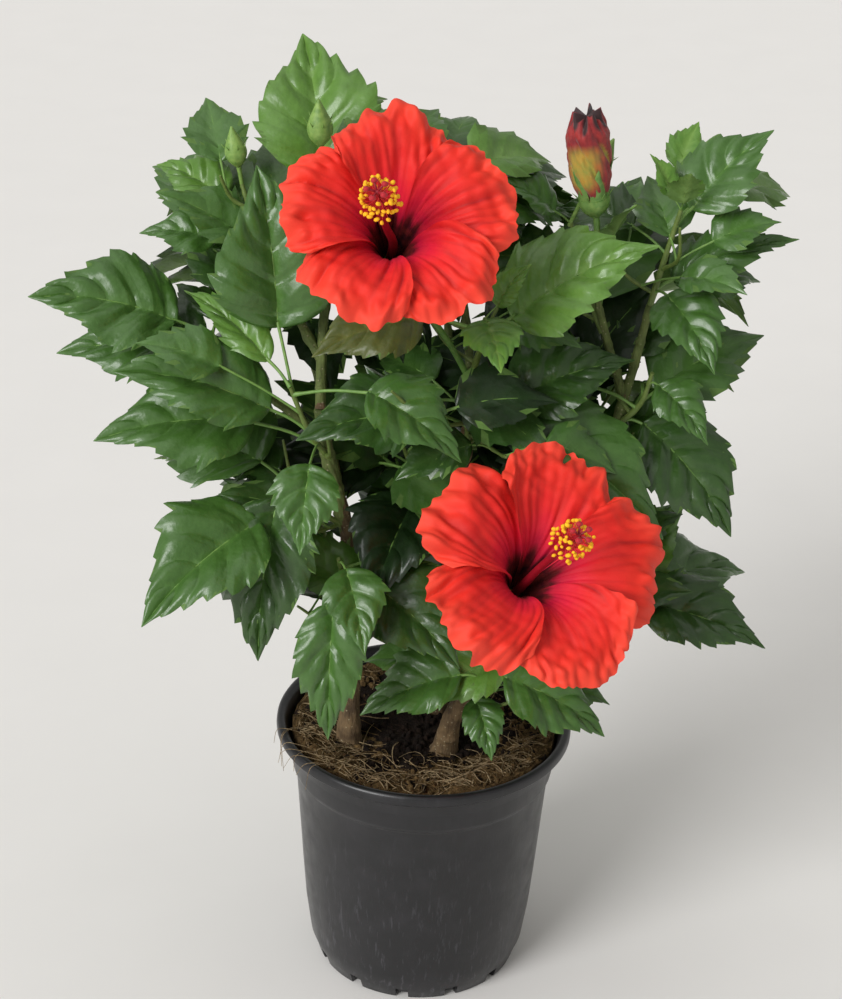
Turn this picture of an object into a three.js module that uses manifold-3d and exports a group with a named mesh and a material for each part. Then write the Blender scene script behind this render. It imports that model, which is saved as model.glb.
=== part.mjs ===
// A potted hibiscus shrub with two open blooms, one rolled bloom and green buds.
// Millimetres. The origin is the middle of the pot's flat underside, +Z is up, and -Y is the front.

import * as THREE from "three";
import { mergeVertices } from "three/addons/utils/BufferGeometryUtils.js";
import Module from "manifold-3d";

const wasm = await Module();
wasm.setup();

const clear = 0.3; // left between any two nodes that touch on the real plant
const leafClear = 0.35; // left round each leaf

// The pot: a moulded nursery pot with a rolled lip, a stacking ledge and feet round the base.
const potHeight = 130;
const lipRadius = 70;
const ledgeHeight = 105;
const footRadius = 48;
const footCount = 13;
const footHeight = 5;
const footGap = 5.5;
const floorThick = 2;
const soilLevel = potHeight - 6;
const soilLump = 2.2;

// Leaves: a blade is widest a third of the way up, folded on its rib, and bends down along its length.
const ribThick = 1.7; // thins to the blade's edges
const leafWidth = 0.68; // of its length
const leafFold = 15; // degrees that each half rises from the rib
const leafDroop = 34; // degrees lost from base to tip
const leafLean = 32; // degrees that blades roll to face the side their shoot faces
const stalkRadius = 0.85;

// Blooms: five petals round a column, on the funnel that they share.
const petalThick = 1.0;
const throatDepth = 20;
const columnLength = 50;

// Solids from arrays.

function solid(geometry) {
  const plain = new THREE.BufferGeometry();
  plain.setAttribute("position", geometry.getAttribute("position"));
  plain.setIndex(geometry.getIndex());
  const welded = mergeVertices(plain, 1e-4);
  return new wasm.Manifold(new wasm.Mesh({
    numProp: 3,
    vertProperties: new Float32Array(welded.getAttribute("position").array),
    triVerts: new Uint32Array(welded.getIndex().array),
  }));
}

function geometryOf(points, faces) {
  const geometry = new THREE.BufferGeometry();
  geometry.setAttribute("position", new THREE.Float32BufferAttribute(points, 3));
  geometry.setIndex(faces);
  return geometry;
}

function fuse(pieces) {
  return pieces.reduce((whole, piece) => whole.add(piece));
}

// The largest piece of a solid; what a cut left loose is dropped.
function largest(whole) {
  return whole.decompose().reduce((best, piece) => (piece.volume() > best.volume() ? piece : best));
}

// Directions and paths.

const rad = (degrees) => (degrees * Math.PI) / 180;
const at = (list) => new THREE.Vector3(...list);

function toward(heading, rise) {
  const level = Math.cos(rad(rise));
  const [x, y] = [Math.cos(rad(heading)), Math.sin(rad(heading))];
  return new THREE.Vector3(level * x, level * y, Math.sin(rad(rise)));
}

// A smooth curve through a few points: the cubic between two of them leans on their neighbours.
function onPath(path, t) {
  const last = path.length - 1;
  const i = Math.min(Math.floor(t * last), last - 1);
  const u = t * last - i;
  const [b, c] = [path[i], path[i + 1]];
  const a = i > 0 ? path[i - 1] : b.clone().multiplyScalar(2).sub(c);
  const d = i < last - 1 ? path[i + 2] : c.clone().multiplyScalar(2).sub(b);
  const cubic = (k) => b.getComponent(k) + 0.5 * u * (c.getComponent(k) - a.getComponent(k)
    + u * (2 * a.getComponent(k) - 5 * b.getComponent(k) + 4 * c.getComponent(k) - d.getComponent(k)
    + u * (3 * (b.getComponent(k) - c.getComponent(k)) + d.getComponent(k) - a.getComponent(k))));
  return new THREE.Vector3(cubic(0), cubic(1), cubic(2));
}

function pathLength(path) {
  let sum = 0;
  for (let i = 1; i <= 24; i += 1) sum += onPath(path, i / 24).distanceTo(onPath(path, (i - 1) / 24));
  return sum;
}

// A closed skin over rings of points that run anticlockwise seen from the far end, with flat ends.
function loft(rings) {
  const sides = rings[0].length;
  const last = (rings.length - 1) * sides;
  const faces = [];
  for (let i = 0; i < last; i += sides) {
    for (let k = 0; k < sides; k += 1) {
      const [a, b] = [i + k, i + ((k + 1) % sides)];
      faces.push(a, b, b + sides, a, b + sides, a + sides);
    }
  }
  for (let k = 1; k < sides - 1; k += 1) faces.push(0, k + 1, k, last, last + k, last + k + 1);
  return solid(geometryOf(rings.flat().flatMap((p) => p.toArray()), faces));
}

// A round limb along a path, with its radius at each step and flat ends. flatFoot keeps the first
// ring level, as a stem is where it meets the soil.
function limb(path, radiusAt, sides, steps, flatFoot = false) {
  const rings = [];
  let side = null;
  for (let i = 0; i <= steps; i += 1) {
    const t = i / steps;
    const ahead = onPath(path, Math.min(t + 0.01, 1)).sub(onPath(path, Math.max(t - 0.01, 0))).normalize();
    if (flatFoot && i === 0) ahead.set(0, 0, 1);
    if (!side) side = Math.abs(ahead.x) < 0.8 ? new THREE.Vector3(1, 0, 0) : new THREE.Vector3(0, 1, 0);
    side = side.clone().addScaledVector(ahead, -side.dot(ahead)).normalize();
    const across = new THREE.Vector3().crossVectors(ahead, side);
    const middle = onPath(path, t);
    rings.push(Array.from({ length: sides }, (_, k) => {
      const turn = (2 * Math.PI * k) / sides;
      return middle.clone().addScaledVector(side, radiusAt(t) * Math.cos(turn))
        .addScaledVector(across, radiusAt(t) * Math.sin(turn));
    }));
  }
  return loft(rings);
}

const taper = (thick, thin) => (t) => thick + (thin - thick) * t;

// A closed sheet: a surface of u and v, half the thickness out on each side along its normal.
function sheet(surface, stepsU, stepsV, thick) {
  const points = [];
  const faces = [];
  const columns = stepsV + 1;
  const layer = (stepsU + 1) * columns;
  for (const part of [1, -1]) {
    for (let i = 0; i <= stepsU; i += 1) {
      for (let j = 0; j <= stepsV; j += 1) {
        const [u, v] = [i / stepsU, j / stepsV];
        const alongU = surface(Math.min(u + 0.02, 1), v).sub(surface(Math.max(u - 0.02, 0), v));
        const alongV = surface(u, Math.min(v + 0.02, 1)).sub(surface(u, Math.max(v - 0.02, 0)));
        const normal = alongU.cross(alongV).normalize();
        const p = surface(u, v).addScaledVector(normal, (part * thick) / 2);
        points.push(p.x, p.y, p.z);
      }
    }
  }
  for (let i = 0; i < stepsU; i += 1) {
    for (let j = 0; j < stepsV; j += 1) {
      const a = i * columns + j;
      const [b, c, d] = [a + columns, a + columns + 1, a + 1];
      faces.push(a, b, c, a, c, d);
      faces.push(layer + a, layer + c, layer + b, layer + a, layer + d, layer + c);
    }
  }
  const rim = [];
  for (let i = 0; i < stepsU; i += 1) rim.push(i * columns);
  for (let j = 0; j < stepsV; j += 1) rim.push(stepsU * columns + j);
  for (let i = stepsU; i > 0; i -= 1) rim.push(i * columns + stepsV);
  for (let j = stepsV; j > 0; j -= 1) rim.push(j);
  rim.forEach((a, k) => {
    const b = rim[(k + 1) % rim.length];
    faces.push(a, layer + a, layer + b, a, layer + b, b);
  });
  return solid(geometryOf(points, faces));
}

// The same row of numbers on every run; a candidate leaf draws as many whether it is kept or not.
function seeded(start) {
  let state = start >>> 0;
  return (low, high) => {
    state = (Math.imul(state, 1664525) + 1013904223) >>> 0;
    return low + ((high - low) * state) / 4294967296;
  };
}

// Leaves.

// Half the blade's width at a share of its length, as a share of the widest: round at the base,
// drawn out to a narrow tip.
const bladeOutline = (t) => Math.sin(Math.PI * t ** 0.6) ** 0.9
  * (1 - 0.38 * THREE.MathUtils.smoothstep(t, 0.45, 0.9));

// A leaf: its root on the twig, where its blade starts, and the blade's heading, rise, length and roll.
// broad is its width as a share of the usual one.
function leafOn(twig, along, heading, stalk, rise, blade, broad = 1) {
  const root = onPath(twig.path, Math.min(along / twig.length, 1));
  const base = root.clone().addScaledVector(toward(heading, 25 + 0.4 * rise), stalk);
  const roll = leafLean * Math.sin(rad(heading - twig.faces));
  return { root, base, heading, rise, blade, broad, roll };
}

function ribPoint(leaf, t) {
  const p = leaf.base.clone();
  const steps = 8;
  for (let i = 0; i < steps; i += 1) {
    const middle = ((i + 0.5) / steps) * t;
    p.addScaledVector(toward(leaf.heading, leaf.rise + leafDroop * (0.5 - middle)), (leaf.blade * t) / steps);
  }
  return p;
}

// The blade: rings of left edge, underside of the rib, right edge and top of the rib.
function bladeSolid(leaf, thick, spread = 0) {
  const steps = 4;
  const rings = [];
  const level = new THREE.Vector3(-Math.sin(rad(leaf.heading)), Math.cos(rad(leaf.heading)), 0);
  for (let i = 0; i <= steps; i += 1) {
    const t = 0.01 + 0.99 * (i / steps) ** 1.15;
    const ahead = toward(leaf.heading, leaf.rise + leafDroop * (0.5 - t));
    const up = new THREE.Vector3().crossVectors(ahead, level);
    const [c, s] = [Math.cos(rad(leaf.roll)), Math.sin(rad(leaf.roll))];
    const side = level.clone().multiplyScalar(c).addScaledVector(up, s);
    const face = up.multiplyScalar(c).addScaledVector(level, -s);
    const half = Math.max(0.5 * leafWidth * leaf.broad * leaf.blade * bladeOutline(t), 0.5) + spread;
    const lift = half * Math.sin(rad(leafFold));
    const wide = half * Math.cos(rad(leafFold));
    const deep = (thick / 2) * (i === steps ? 0.4 : 1);
    const rib = ribPoint(leaf, t);
    const point = (across, high) => rib.clone().addScaledVector(side, across).addScaledVector(face, high);
    rings.push([point(wide, lift), point(0, deep), point(-wide, lift), point(0, -deep)]);
  }
  return loft(rings);
}

function stalkSolid(leaf, thick) {
  const lift = toward(leaf.heading, 25 + 0.4 * leaf.rise);
  const foot = leaf.root.clone().addScaledVector(lift, 0.1);
  return limb([foot, ribPoint(leaf, 0.05)], taper(thick, thick * 0.85), 3, 1);
}

// Blooms and buds.

// A frame that faces a bloom's way: turned to the right of the front, raised above the level.
function facing(place, turn, raise, spin) {
  const ahead = toward(turn - 90, raise);
  const right = toward(turn, 0);
  const over = new THREE.Vector3().crossVectors(ahead, right);
  return (x, y, z) => {
    const [c, s] = [Math.cos(rad(spin)), Math.sin(rad(spin))];
    return place.clone().addScaledVector(right, x * c - y * s).addScaledVector(over, x * s + y * c)
      .addScaledVector(ahead, z);
  };
}

// One petal: up the narrow throat, out along the wide funnel, and its tip turned back. Each one lies
// over the next on one side and under it on the other.
function petalSurface(frame, number, plan) {
  return (u, v) => {
    const across = 2 * v - 1;
    const end = plan.reach * (1 - 0.2 * across * across);
    const out = 3.2 + (end - 3.2) * u ** 1.15;
    const wide = rad(38 + 8 * Math.sin(Math.PI * Math.min(u * 1.1, 0.8)));
    const turn = rad(72 * number) + wide * across;
    const lift = -throatDepth * (1 - u) ** 6 + plan.cup * Math.sin(Math.PI * 0.62 * u);
    return frame(out * Math.cos(turn), out * Math.sin(turn), lift + 2.6 * across * Math.min(4 * u, 1));
  };
}

// A spindle on the z axis of a frame, with five low ribs that wind round it.
function spindle(frame, radii, from, length, wind, ribs) {
  const sides = 10;
  return loft(radii.map((radius, i) => {
    const t = i / (radii.length - 1);
    return Array.from({ length: sides }, (_, k) => {
      const turn = (2 * Math.PI * k) / sides + rad(wind * t);
      const out = radius * (1 + (k % 2 ? -ribs : ribs));
      return frame(out * Math.cos(turn), out * Math.sin(turn), from + length * t);
    });
  }));
}

// The column: a rod that leaves the throat and leans its own way, with a brush of stalked anthers
// near its end, and five stigma stubs.
function columnSolids(foot, frame) {
  const rod = (from, to, thick, thin) => limb([frame(...from), frame(...to)], taper(thick, thin), 3, 1);
  const pieces = [limb([foot, frame(0, 0, 0), frame(0, 0, columnLength)], taper(1.9, 1.1), 5, 2)];
  for (let k = 0; k < 10; k += 1) {
    const turn = rad(137.5 * k);
    const up = columnLength - 17 + 1.3 * k;
    pieces.push(rod([0, 0, up], [7.5 * Math.cos(turn), 7.5 * Math.sin(turn), up + 3.5], 0.5, 1.0));
  }
  for (let k = 0; k < 5; k += 1) {
    const turn = rad(72 * k + 20);
    const end = [4 * Math.cos(turn), 4 * Math.sin(turn), columnLength + 4];
    pieces.push(rod([0, 0, columnLength - 2], end, 0.5, 1.1));
  }
  return pieces;
}

function openBloom(plan) {
  const frame = facing(at(plan.throat), plan.turn, plan.raise, plan.spin);
  const own = facing(at(plan.throat), plan.turn + plan.lean, plan.raise, plan.spin);
  const foot = frame(0, 0, -throatDepth - 10);
  const stem = limb([at(plan.stalk[0]), ...plan.stalk.slice(1).map(at), foot, frame(0, 0, -throatDepth - 4)],
    taper(1.5, 1.7), 6, 6);
  const cup = spindle(frame, [1.7, 5.4, 6.6, 5.2], -throatDepth - 8, 16, 0, 0.05);
  const petals = [0, 1, 2, 3, 4].map((k) => sheet(petalSurface(frame, k, plan), 4, 4, petalThick));
  return [stem, cup, ...petals, ...columnSolids(frame(0, 0, -throatDepth), own)];
}

// Five narrow lobes that spread round the foot of the rolled bloom.
function lobes(frame, from, radius, length) {
  return [0, 1, 2, 3, 4].map((k) => loft([0, 0.3, 0.65, 1].map((u) => {
    const turn = rad(72 * k);
    const half = 3.4 * (1 - u) ** 0.8 + 0.3;
    const out = radius + 6.5 * u;
    const point = (side, more) => frame((out + more) * Math.cos(turn) - side * Math.sin(turn),
      (out + more) * Math.sin(turn) + side * Math.cos(turn), from + length * u);
    return [point(half, 0), point(0, -0.7), point(-half, 0), point(0, 0.7)];
  })));
}

function rolledBloom(plan) {
  const frame = facing(at(plan.base), plan.turn, plan.raise, 0);
  const stem = limb([at(plan.stalk), frame(0, 0, -8), frame(0, 0, 3)], taper(1.4, 1.6), 6, 4);
  const cup = spindle(frame, [2.4, 5.2, 6.4], -1.3, 9, 0, 0.03);
  const roll = spindle(frame, [3.5, 7.2, 9.4, 9.8, 9.0, 7.0, 4.6], 3, plan.length, 130, 0.07);
  return [stem, cup, roll, ...lobes(frame, 4, 5.2, 13)];
}

function greenBud(twig, bud) {
  const ahead = toward(bud.heading, bud.rise);
  const tip = onPath(twig.path, 1);
  const frame = facing(tip.clone().addScaledVector(ahead, bud.stalk), bud.heading + 90, bud.rise, 0);
  const radii = [1.4, 4.4, 5.4, 4.2, 2.0, 0.8].map((radius) => (radius * bud.size) / 21);
  return [
    limb([tip.clone().addScaledVector(ahead, -2), frame(0, 0, 2)], taper(1.1, 1.2), 5, 1),
    spindle(frame, radii, 0, bud.size, 40, 0.05),
  ];
}

// Pot and soil.

const turnedSolid = (profile, segments) => solid(
  new THREE.LatheGeometry(profile.map(([x, z]) => new THREE.Vector2(x, z)), segments).rotateX(Math.PI / 2),
);

// Wall radii outside, from the base up; the inside follows a wall's thickness in.
const outside = [
  [footRadius + 0.6, 1.5], [50.5, 6], [53, 15], [55, 30], [58, 70],
  [60.5, ledgeHeight - 0.6], [62, ledgeHeight + 0.8], [64, potHeight - 6.4],
];
const inside = [
  [64, potHeight - 5], [60.7, ledgeHeight + 1.2], [59.1, ledgeHeight - 0.8],
  [56.6, 70], [53.6, 30], [49, 6.5], [47, floorThick],
];

function potSolid() {
  const lip = [
    [lipRadius - 1.2, potHeight - 5.8], [lipRadius, potHeight - 4.2], [lipRadius - 0.3, potHeight - 1],
    [lipRadius - 1.6, potHeight], [66.6, potHeight],
  ];
  const shell = turnedSolid([[0, 0], [footRadius, 0], ...outside, ...lip, ...inside, [0, floorThick]], 32);
  const gap = new THREE.BoxGeometry(14, footGap, 2 * footHeight).translate(footRadius, 0, 0);
  const gaps = Array.from({ length: footCount }, (_, k) => solid(
    gap.clone().rotateZ((2 * Math.PI * (k + 0.5)) / footCount),
  ));
  return shell.subtract(fuse(gaps));
}

// The soil fills the pot to just under its lip, lumpy on top but level under each stem's foot.
function soilSolid(feet) {
  const lump = (x, y) => {
    const near = Math.min(...feet.map((foot) => Math.hypot(x - foot[0], y - foot[1])));
    const share = Math.min(Math.max((near - 15) / 10, 0), 1);
    return share * soilLump * (0.5 * Math.sin(0.19 * x + 1.3) * Math.cos(0.16 * y)
      + 0.35 * Math.sin(0.31 * x - 0.27 * y) + 0.15 * Math.cos(0.43 * y + 0.4 * x)) - clear;
  };
  const walls = inside.slice(1).reverse().map(([radius, height]) => [radius - clear, height + clear]);
  const rim = walls.push([62.6, soilLevel - 1.5]) - 1;
  const [points, faces, around] = [[0, 0, floorThick + clear], [], 26];
  const rings = [...walls, ...[54, 44, 34, 24, 13].map((radius) => [radius, soilLevel])];
  rings.forEach(([radius, height], i) => {
    for (let k = 0; k < around; k += 1) {
      const turn = (2 * Math.PI * k) / around;
      const [x, y] = [radius * Math.cos(turn), radius * Math.sin(turn)];
      points.push(x, y, i < rim + 1 ? height : height + lump(x, y));
    }
    for (let k = 0; i > 0 && k < around; k += 1) {
      const [a, b] = [1 + (i - 1) * around + k, 1 + (i - 1) * around + ((k + 1) % around)];
      faces.push(a, b, b + around, a, b + around, a + around);
    }
  });
  points.push(0, 0, soilLevel + lump(0, 0));
  const top = 1 + (rings.length - 1) * around;
  for (let k = 0; k < around; k += 1) {
    const next = (k + 1) % around;
    faces.push(0, 1 + next, 1 + k, top + k, top + next, top + around);
  }
  return solid(geometryOf(points, faces));
}

// The plant: three stems, their boughs, and a shoot of leaves at each tip.
// A limb is [name, parent, points, radius at its foot, radius at its tip].
const stems = [
  ["stem_left", [[-35, -15, soilLevel], [-35, -15, 180], [-35, -20, 225], [-45, -25, 270], [-50, -25, 300]],
    4.4, 2.7],
  ["stem_middle", [[5, 15, soilLevel], [10, 5, 180], [10, 0, 235], [15, -10, 290], [15, -10, 315]], 4.2, 2.5],
  ["stem_right", [[10, -20, soilLevel], [15, -25, 150], [35, -30, 180], [50, -20, 210], [60, -10, 235]],
    4.8, 3.0],
];
const boughs = [
  ["bough_top", "stem_left", [[-50, -25, 300], [-50, -11, 332], [-46, -3, 366]], 2.4, 1.7],
  ["bough_left", "stem_left", [[-47, -25, 284], [-64, -23, 298], [-80, -20, 308]], 2.0, 1.6],
  ["bough_upper_left", "bough_top", [[-51, -16, 320], [-62, -9, 338], [-71, -6, 353]], 1.9, 1.5],
  ["bough_back_left", "stem_left", [[-40, -23, 254], [-50, 6, 286], [-60, 34, 318]], 2.1, 1.6],
  ["bough_back", "stem_middle", [[13, -2, 250], [8, 28, 290], [2, 50, 328]], 2.2, 1.6],
  ["bough_mid_top", "stem_middle", [[16, -11, 302], [12, 2, 332], [8, 10, 356]], 1.9, 1.5],
  ["bough_right", "stem_right", [[60, -10, 235], [76, -4, 272], [86, 2, 310], [92, 4, 342]], 2.7, 1.7],
  ["bough_faded", "bough_right", [[83, 0, 300], [74, 4, 326], [67, 3, 350]], 1.8, 1.5],
  ["bough_back_right", "stem_right", [[53, -19, 214], [58, 16, 260], [64, 44, 298]], 2.2, 1.6],
];

// A shoot: the limb that carries it, its twig, the leaves that are told one by one as
// [mm along the twig, heading, stalk, rise, blade length, and its share of the usual width if not 1],
// then how many more the rule tries, from which heading, the middle and half sizes of the space that
// they keep to, and how many young leaves stand at its tip if any do.
const shoots = [
  {
    name: "foliage_left", on: "bough_left", twig: [[-80, -20, 308], [-92, -17, 318], [-100, -13, 327]],
    told: [[30, 185, 15, 10, 65], [5, 175, 25, -5, 60]],
    more: 10, from: 100, middle: [-112, 16, 330], reach: [66, 54, 46],
  },
  {
    name: "foliage_left_front", on: "stem_left", twig: [[-45, -26, 276], [-54, -36, 294], [-62, -43, 318]],
    told: [[45, 115, 30, 60, 70, 1.25], [25, 185, 20, 15, 70], [15, 190, 30, -5, 70],
      [45, 340, 35, -30, 50], [15, 265, 25, -50, 40], [50, 140, 15, 35, 55, 0.5]],
    more: 12, from: 210, middle: [-72, -24, 316], reach: [76, 40, 56],
  },
  {
    name: "foliage_upper_left", on: "bough_upper_left", twig: [[-71, -6, 353], [-80, -2, 374], [-86, 2, 392]],
    told: [[20, 145, 20, 10, 40], [5, 175, 25, 0, 35]],
    more: 8, from: 60, middle: [-92, 26, 380], reach: [60, 56, 42],
    bud: { heading: 200, rise: 80, stalk: 8, size: 18 },
  },
  {
    name: "foliage_top", on: "bough_top", twig: [[-46, -3, 366], [-49, -2, 388], [-52, -2, 405]],
    told: [[20, 105, 10, 45, 70, 1.15]],
    more: 13, from: 20, middle: [-48, 30, 402], reach: [52, 56, 46],
    bud: { heading: 250, rise: 82, stalk: 7, size: 21 },
  },
  {
    name: "foliage_lower_left", on: "stem_left", twig: [[-37, -22, 240], [-54, -30, 256], [-64, -37, 268]],
    told: [[40, 240, 10, -75, 75, 0.85], [10, 205, 40, -35, 70], [15, 140, 30, -15, 35]],
    more: 13, from: 160, middle: [-84, 0, 240], reach: [64, 44, 52],
  },
  {
    name: "foliage_bottom_left", on: "stem_left", twig: [[-35, -18, 198], [-38, -36, 222], [-40, -50, 240]],
    told: [[40, 265, 25, -80, 65, 0.65], [30, 330, 10, -30, 60], [50, 290, 10, -60, 40]],
    more: 11, from: 100, middle: [-30, -30, 205], reach: [56, 40, 60],
  },
  {
    name: "foliage_centre_top", on: "stem_middle", twig: [[16, -12, 316], [19, -30, 338], [19, -42, 352]],
    told: [[25, 0, 15, 30, 70], [45, 280, 5, -15, 35], [30, 200, 30, -15, 50]],
    more: 12, from: 90, middle: [24, -14, 350], reach: [70, 44, 38], young: 2,
  },
  {
    name: "foliage_centre", on: "stem_middle", twig: [[15, -8, 272], [14, -26, 292], [14, -38, 306]],
    told: [[30, 350, 20, -35, 85], [30, 200, 20, -5, 60]],
    more: 16, from: 190, middle: [24, -6, 290], reach: [88, 52, 54],
  },
  {
    name: "foliage_back_top", on: "bough_mid_top", twig: [[8, 10, 356], [5, 15, 376], [2, 16, 393]],
    told: [[25, 30, 10, -20, 60]],
    more: 14, from: 130, middle: [4, 40, 374], reach: [68, 60, 36],
  },
  {
    name: "foliage_upper_right", on: "bough_right", twig: [[92, 4, 342], [98, 6, 368], [102, 5, 386]],
    told: [[35, 25, 10, 40, 50], [20, 150, 20, -10, 40], [5, 15, 10, 15, 60, 0.5],
      [5, 30, 10, -10, 50], [5, 300, 10, -30, 45]],
    more: 6, from: 90, middle: [112, 24, 374], reach: [58, 54, 52], young: 2,
  },
  {
    name: "foliage_right", on: "bough_right", twig: [[80, -1, 285], [90, -8, 300], [94, -10, 316]],
    told: [[5, 335, 10, -45, 65], [30, 320, 5, -35, 35], [15, 165, 20, -10, 75]],
    more: 13, from: 280, middle: [104, 14, 288], reach: [58, 50, 60],
  },
  {
    name: "foliage_top_right", on: "bough_faded", twig: [[72, 4, 328], [62, 14, 352], [56, 18, 374]],
    told: [[50, 190, 10, 30, 30]],
    more: 13, from: 70, middle: [54, 40, 356], reach: [64, 60, 46],
    bud: { heading: 10, rise: 66, stalk: 24, size: 17 },
  },
  {
    name: "foliage_right_low", on: "stem_right", twig: [[38, -28, 188], [62, -20, 197], [80, -14, 203]],
    told: [[25, 350, 35, -15, 60], [45, 15, 15, 0, 40]],
    more: 14, from: 60, middle: [92, 14, 208], reach: [66, 52, 48],
  },
  {
    name: "foliage_bottom", on: "stem_right", twig: [[17, -26, 156], [22, -40, 170], [25, -48, 180]],
    told: [[35, 185, 10, -25, 50], [10, 300, 5, -55, 30], [35, 355, 10, -30, 55]],
    more: 10, from: 260, middle: [24, -30, 168], reach: [66, 36, 36],
  },
  {
    name: "foliage_inner_left", on: "stem_middle", twig: [[10, 2, 228], [-6, 2, 252], [-14, 0, 272]],
    told: [[30, 180, 15, -10, 65], [20, 250, 15, -30, 60]],
    more: 12, from: 60, middle: [-10, 16, 270], reach: [90, 60, 68],
  },
  {
    name: "foliage_inner_right", on: "bough_right", twig: [[70, -7, 258], [62, 6, 278], [56, 14, 294]],
    told: [[15, 240, 15, -20, 55]],
    more: 20, from: 20, middle: [54, 26, 292], reach: [80, 62, 64],
  },
  {
    name: "foliage_back_left", on: "bough_back_left", twig: [[-60, 34, 318], [-65, 50, 342], [-67, 58, 362]],
    told: [], more: 13, from: 120, middle: [-66, 62, 324], reach: [80, 68, 66], young: 3,
  },
  {
    name: "foliage_back", on: "bough_back", twig: [[2, 50, 328], [-2, 64, 350], [-4, 70, 370]],
    told: [], more: 12, from: 40, middle: [0, 76, 332], reach: [78, 68, 64], young: 3,
  },
  {
    name: "foliage_back_right", on: "bough_back_right", twig: [[64, 44, 298], [68, 56, 322], [70, 62, 344]],
    told: [], more: 18, from: 10, middle: [76, 62, 316], reach: [80, 68, 66], young: 3,
  },
  {
    name: "foliage_back_low", on: "stem_middle", twig: [[9, 6, 190], [15, 32, 212], [20, 48, 232]],
    told: [], more: 14, from: 60, middle: [30, 56, 224], reach: [78, 68, 60],
  },
  {
    name: "foliage_low_left", on: "stem_left", twig: [[-35, -16, 186], [-46, 12, 206], [-54, 28, 224]],
    told: [], more: 14, from: 150, middle: [-62, 44, 226], reach: [78, 66, 60],
  },
];

const openBlooms = [
  {
    name: "bloom_upper", on: "stem_middle", throat: [-20, -50, 387], turn: 6, raise: 44, spin: 92, lean: -16,
    reach: 49, cup: 27, stalk: [[16, -12, 308], [0, -20, 338]],
  },
  {
    name: "bloom_lower", on: "stem_right", throat: [41, -85, 252], turn: 27, raise: 48, spin: 60, lean: 6,
    reach: 56, cup: 21, stalk: [[44, -26, 198], [40, -46, 212]],
  },
];
const fadedBloom = {
  name: "bloom_faded", on: "bough_faded", base: [65, 0, 385], turn: -70, raise: 80, length: 44,
  stalk: [67, 3, 350],
};

// Leaves as the rule grows them, as told ones are: a turn of 137.5 degrees from one to the next,
// up the twig.
function ruledLeaves(shoot, twig, draw) {
  return Array.from({ length: shoot.more }, (_, k) => {
    const along = twig.length * (0.1 + 0.86 * ((0.382 * k) % 1));
    const heading = shoot.from + 137.5 * k + draw(-18, 18);
    return [along, heading, draw(10, 34), draw(-34, 30), draw(54, 78)];
  });
}

// Young leaves that stand at the twig's tip.
function tipLeaves(shoot, twig, draw) {
  const first = draw(0, 360);
  const young = (k) => [twig.length, first + 125 * k, draw(4, 8), draw(38, 62), draw(20, 32)];
  return Array.from({ length: shoot.young ?? 0 }, (_, k) => young(k));
}

const inSpace = (p, shoot) => p.toArray().reduce(
  (sum, value, k) => sum + ((value - shoot.middle[k]) / shoot.reach[k]) ** 2, 0,
) < 1;

function boxesMeet(a, b) {
  const [p, q] = [a.boundingBox(), b.boundingBox()];
  return [0, 1, 2].every((k) => p.min[k] < q.max[k] && q.min[k] < p.max[k]);
}

const touches = (one, other) => boxesMeet(one, other) && !one.intersect(other).isEmpty();

// Limbs first. Each is cut 0.3 mm clear of every limb before it, which opens it at its parent.
const made = new Map();
const fat = new Map();

function addLimb(name, points, thick, thin, flare) {
  const path = points.map(at);
  const steps = 3 * (points.length - 1);
  const radius = (extra) => (t) => thick + (thin - thick) * t + flare * Math.exp(-22 * t) + extra;
  const round = (extra) => limb(path, radius(extra), 7, steps, flare > 0);
  const cut = [...fat.values()].reduce((whole, other) => whole.subtract(other), round(0));
  made.set(name, largest(cut));
  fat.set(name, longer(path, radius(clear * 1.15), 7, steps));
}

// The same limb, longer by the clearance at its tip, to cut the next one with.
function longer(path, radiusAt, sides, steps) {
  const last = path.length - 1;
  const ahead = path[last].clone().sub(onPath(path, 0.97)).setLength(clear);
  const moved = path.map((p, k) => (k === last ? p.clone().add(ahead) : p));
  return limb(moved, radiusAt, sides, steps);
}

stems.forEach(([name, points, thick, thin]) => addLimb(name, points, thick, thin, 2.6));
boughs.forEach(([name, , points, thick, thin]) => addLimb(name, points, thick, thin, 0));
const cutters = [...fat.values()];

const bloomSolids = new Map();
[...openBlooms, fadedBloom].forEach((plan) => {
  const pieces = plan.throat ? openBloom(plan) : rolledBloom(plan);
  bloomSolids.set(plan.name, largest(cutters.reduce((whole, other) => whole.subtract(other), fuse(pieces))));
});

// Then every shoot's twig and told leaves, and after them the leaves that the rule grows.
const growing = shoots.map((shoot, k) => {
  const path = shoot.twig.map(at);
  const twig = { path, length: pathLength(path), faces: shoot.middle[1] > 40 ? 90 : -90 };
  const stem = cutters.reduce((whole, other) => whole.subtract(other), limb(path, taper(1.5, 1.0), 5, 4));
  return { shoot, twig, draw: seeded(4100 + 37 * k), pieces: [largest(stem)], blades: [] };
});

// Whether a leaf would touch a limb, a bloom or another shoot.
function inTheWay(reached, mine) {
  const others = growing.filter((one) => one !== mine).flatMap((one) => one.pieces);
  return [...made.values(), ...bloomSolids.values(), ...others].some((other) => touches(reached, other));
}

// Adds a leaf to its shoot unless it touches something; true where it stays.
function addLeaf(mine, leaf) {
  const wide = bladeSolid(leaf, ribThick + 2 * leafClear, leafClear);
  if (mine.blades.some((other) => touches(wide, other))) return false;
  if (inTheWay(wide.add(stalkSolid(leaf, stalkRadius + leafClear)), mine)) return false;
  const blade = bladeSolid(leaf, ribThick);
  mine.blades.push(blade);
  mine.pieces.push(blade, stalkSolid(leaf, stalkRadius));
  return true;
}

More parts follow.
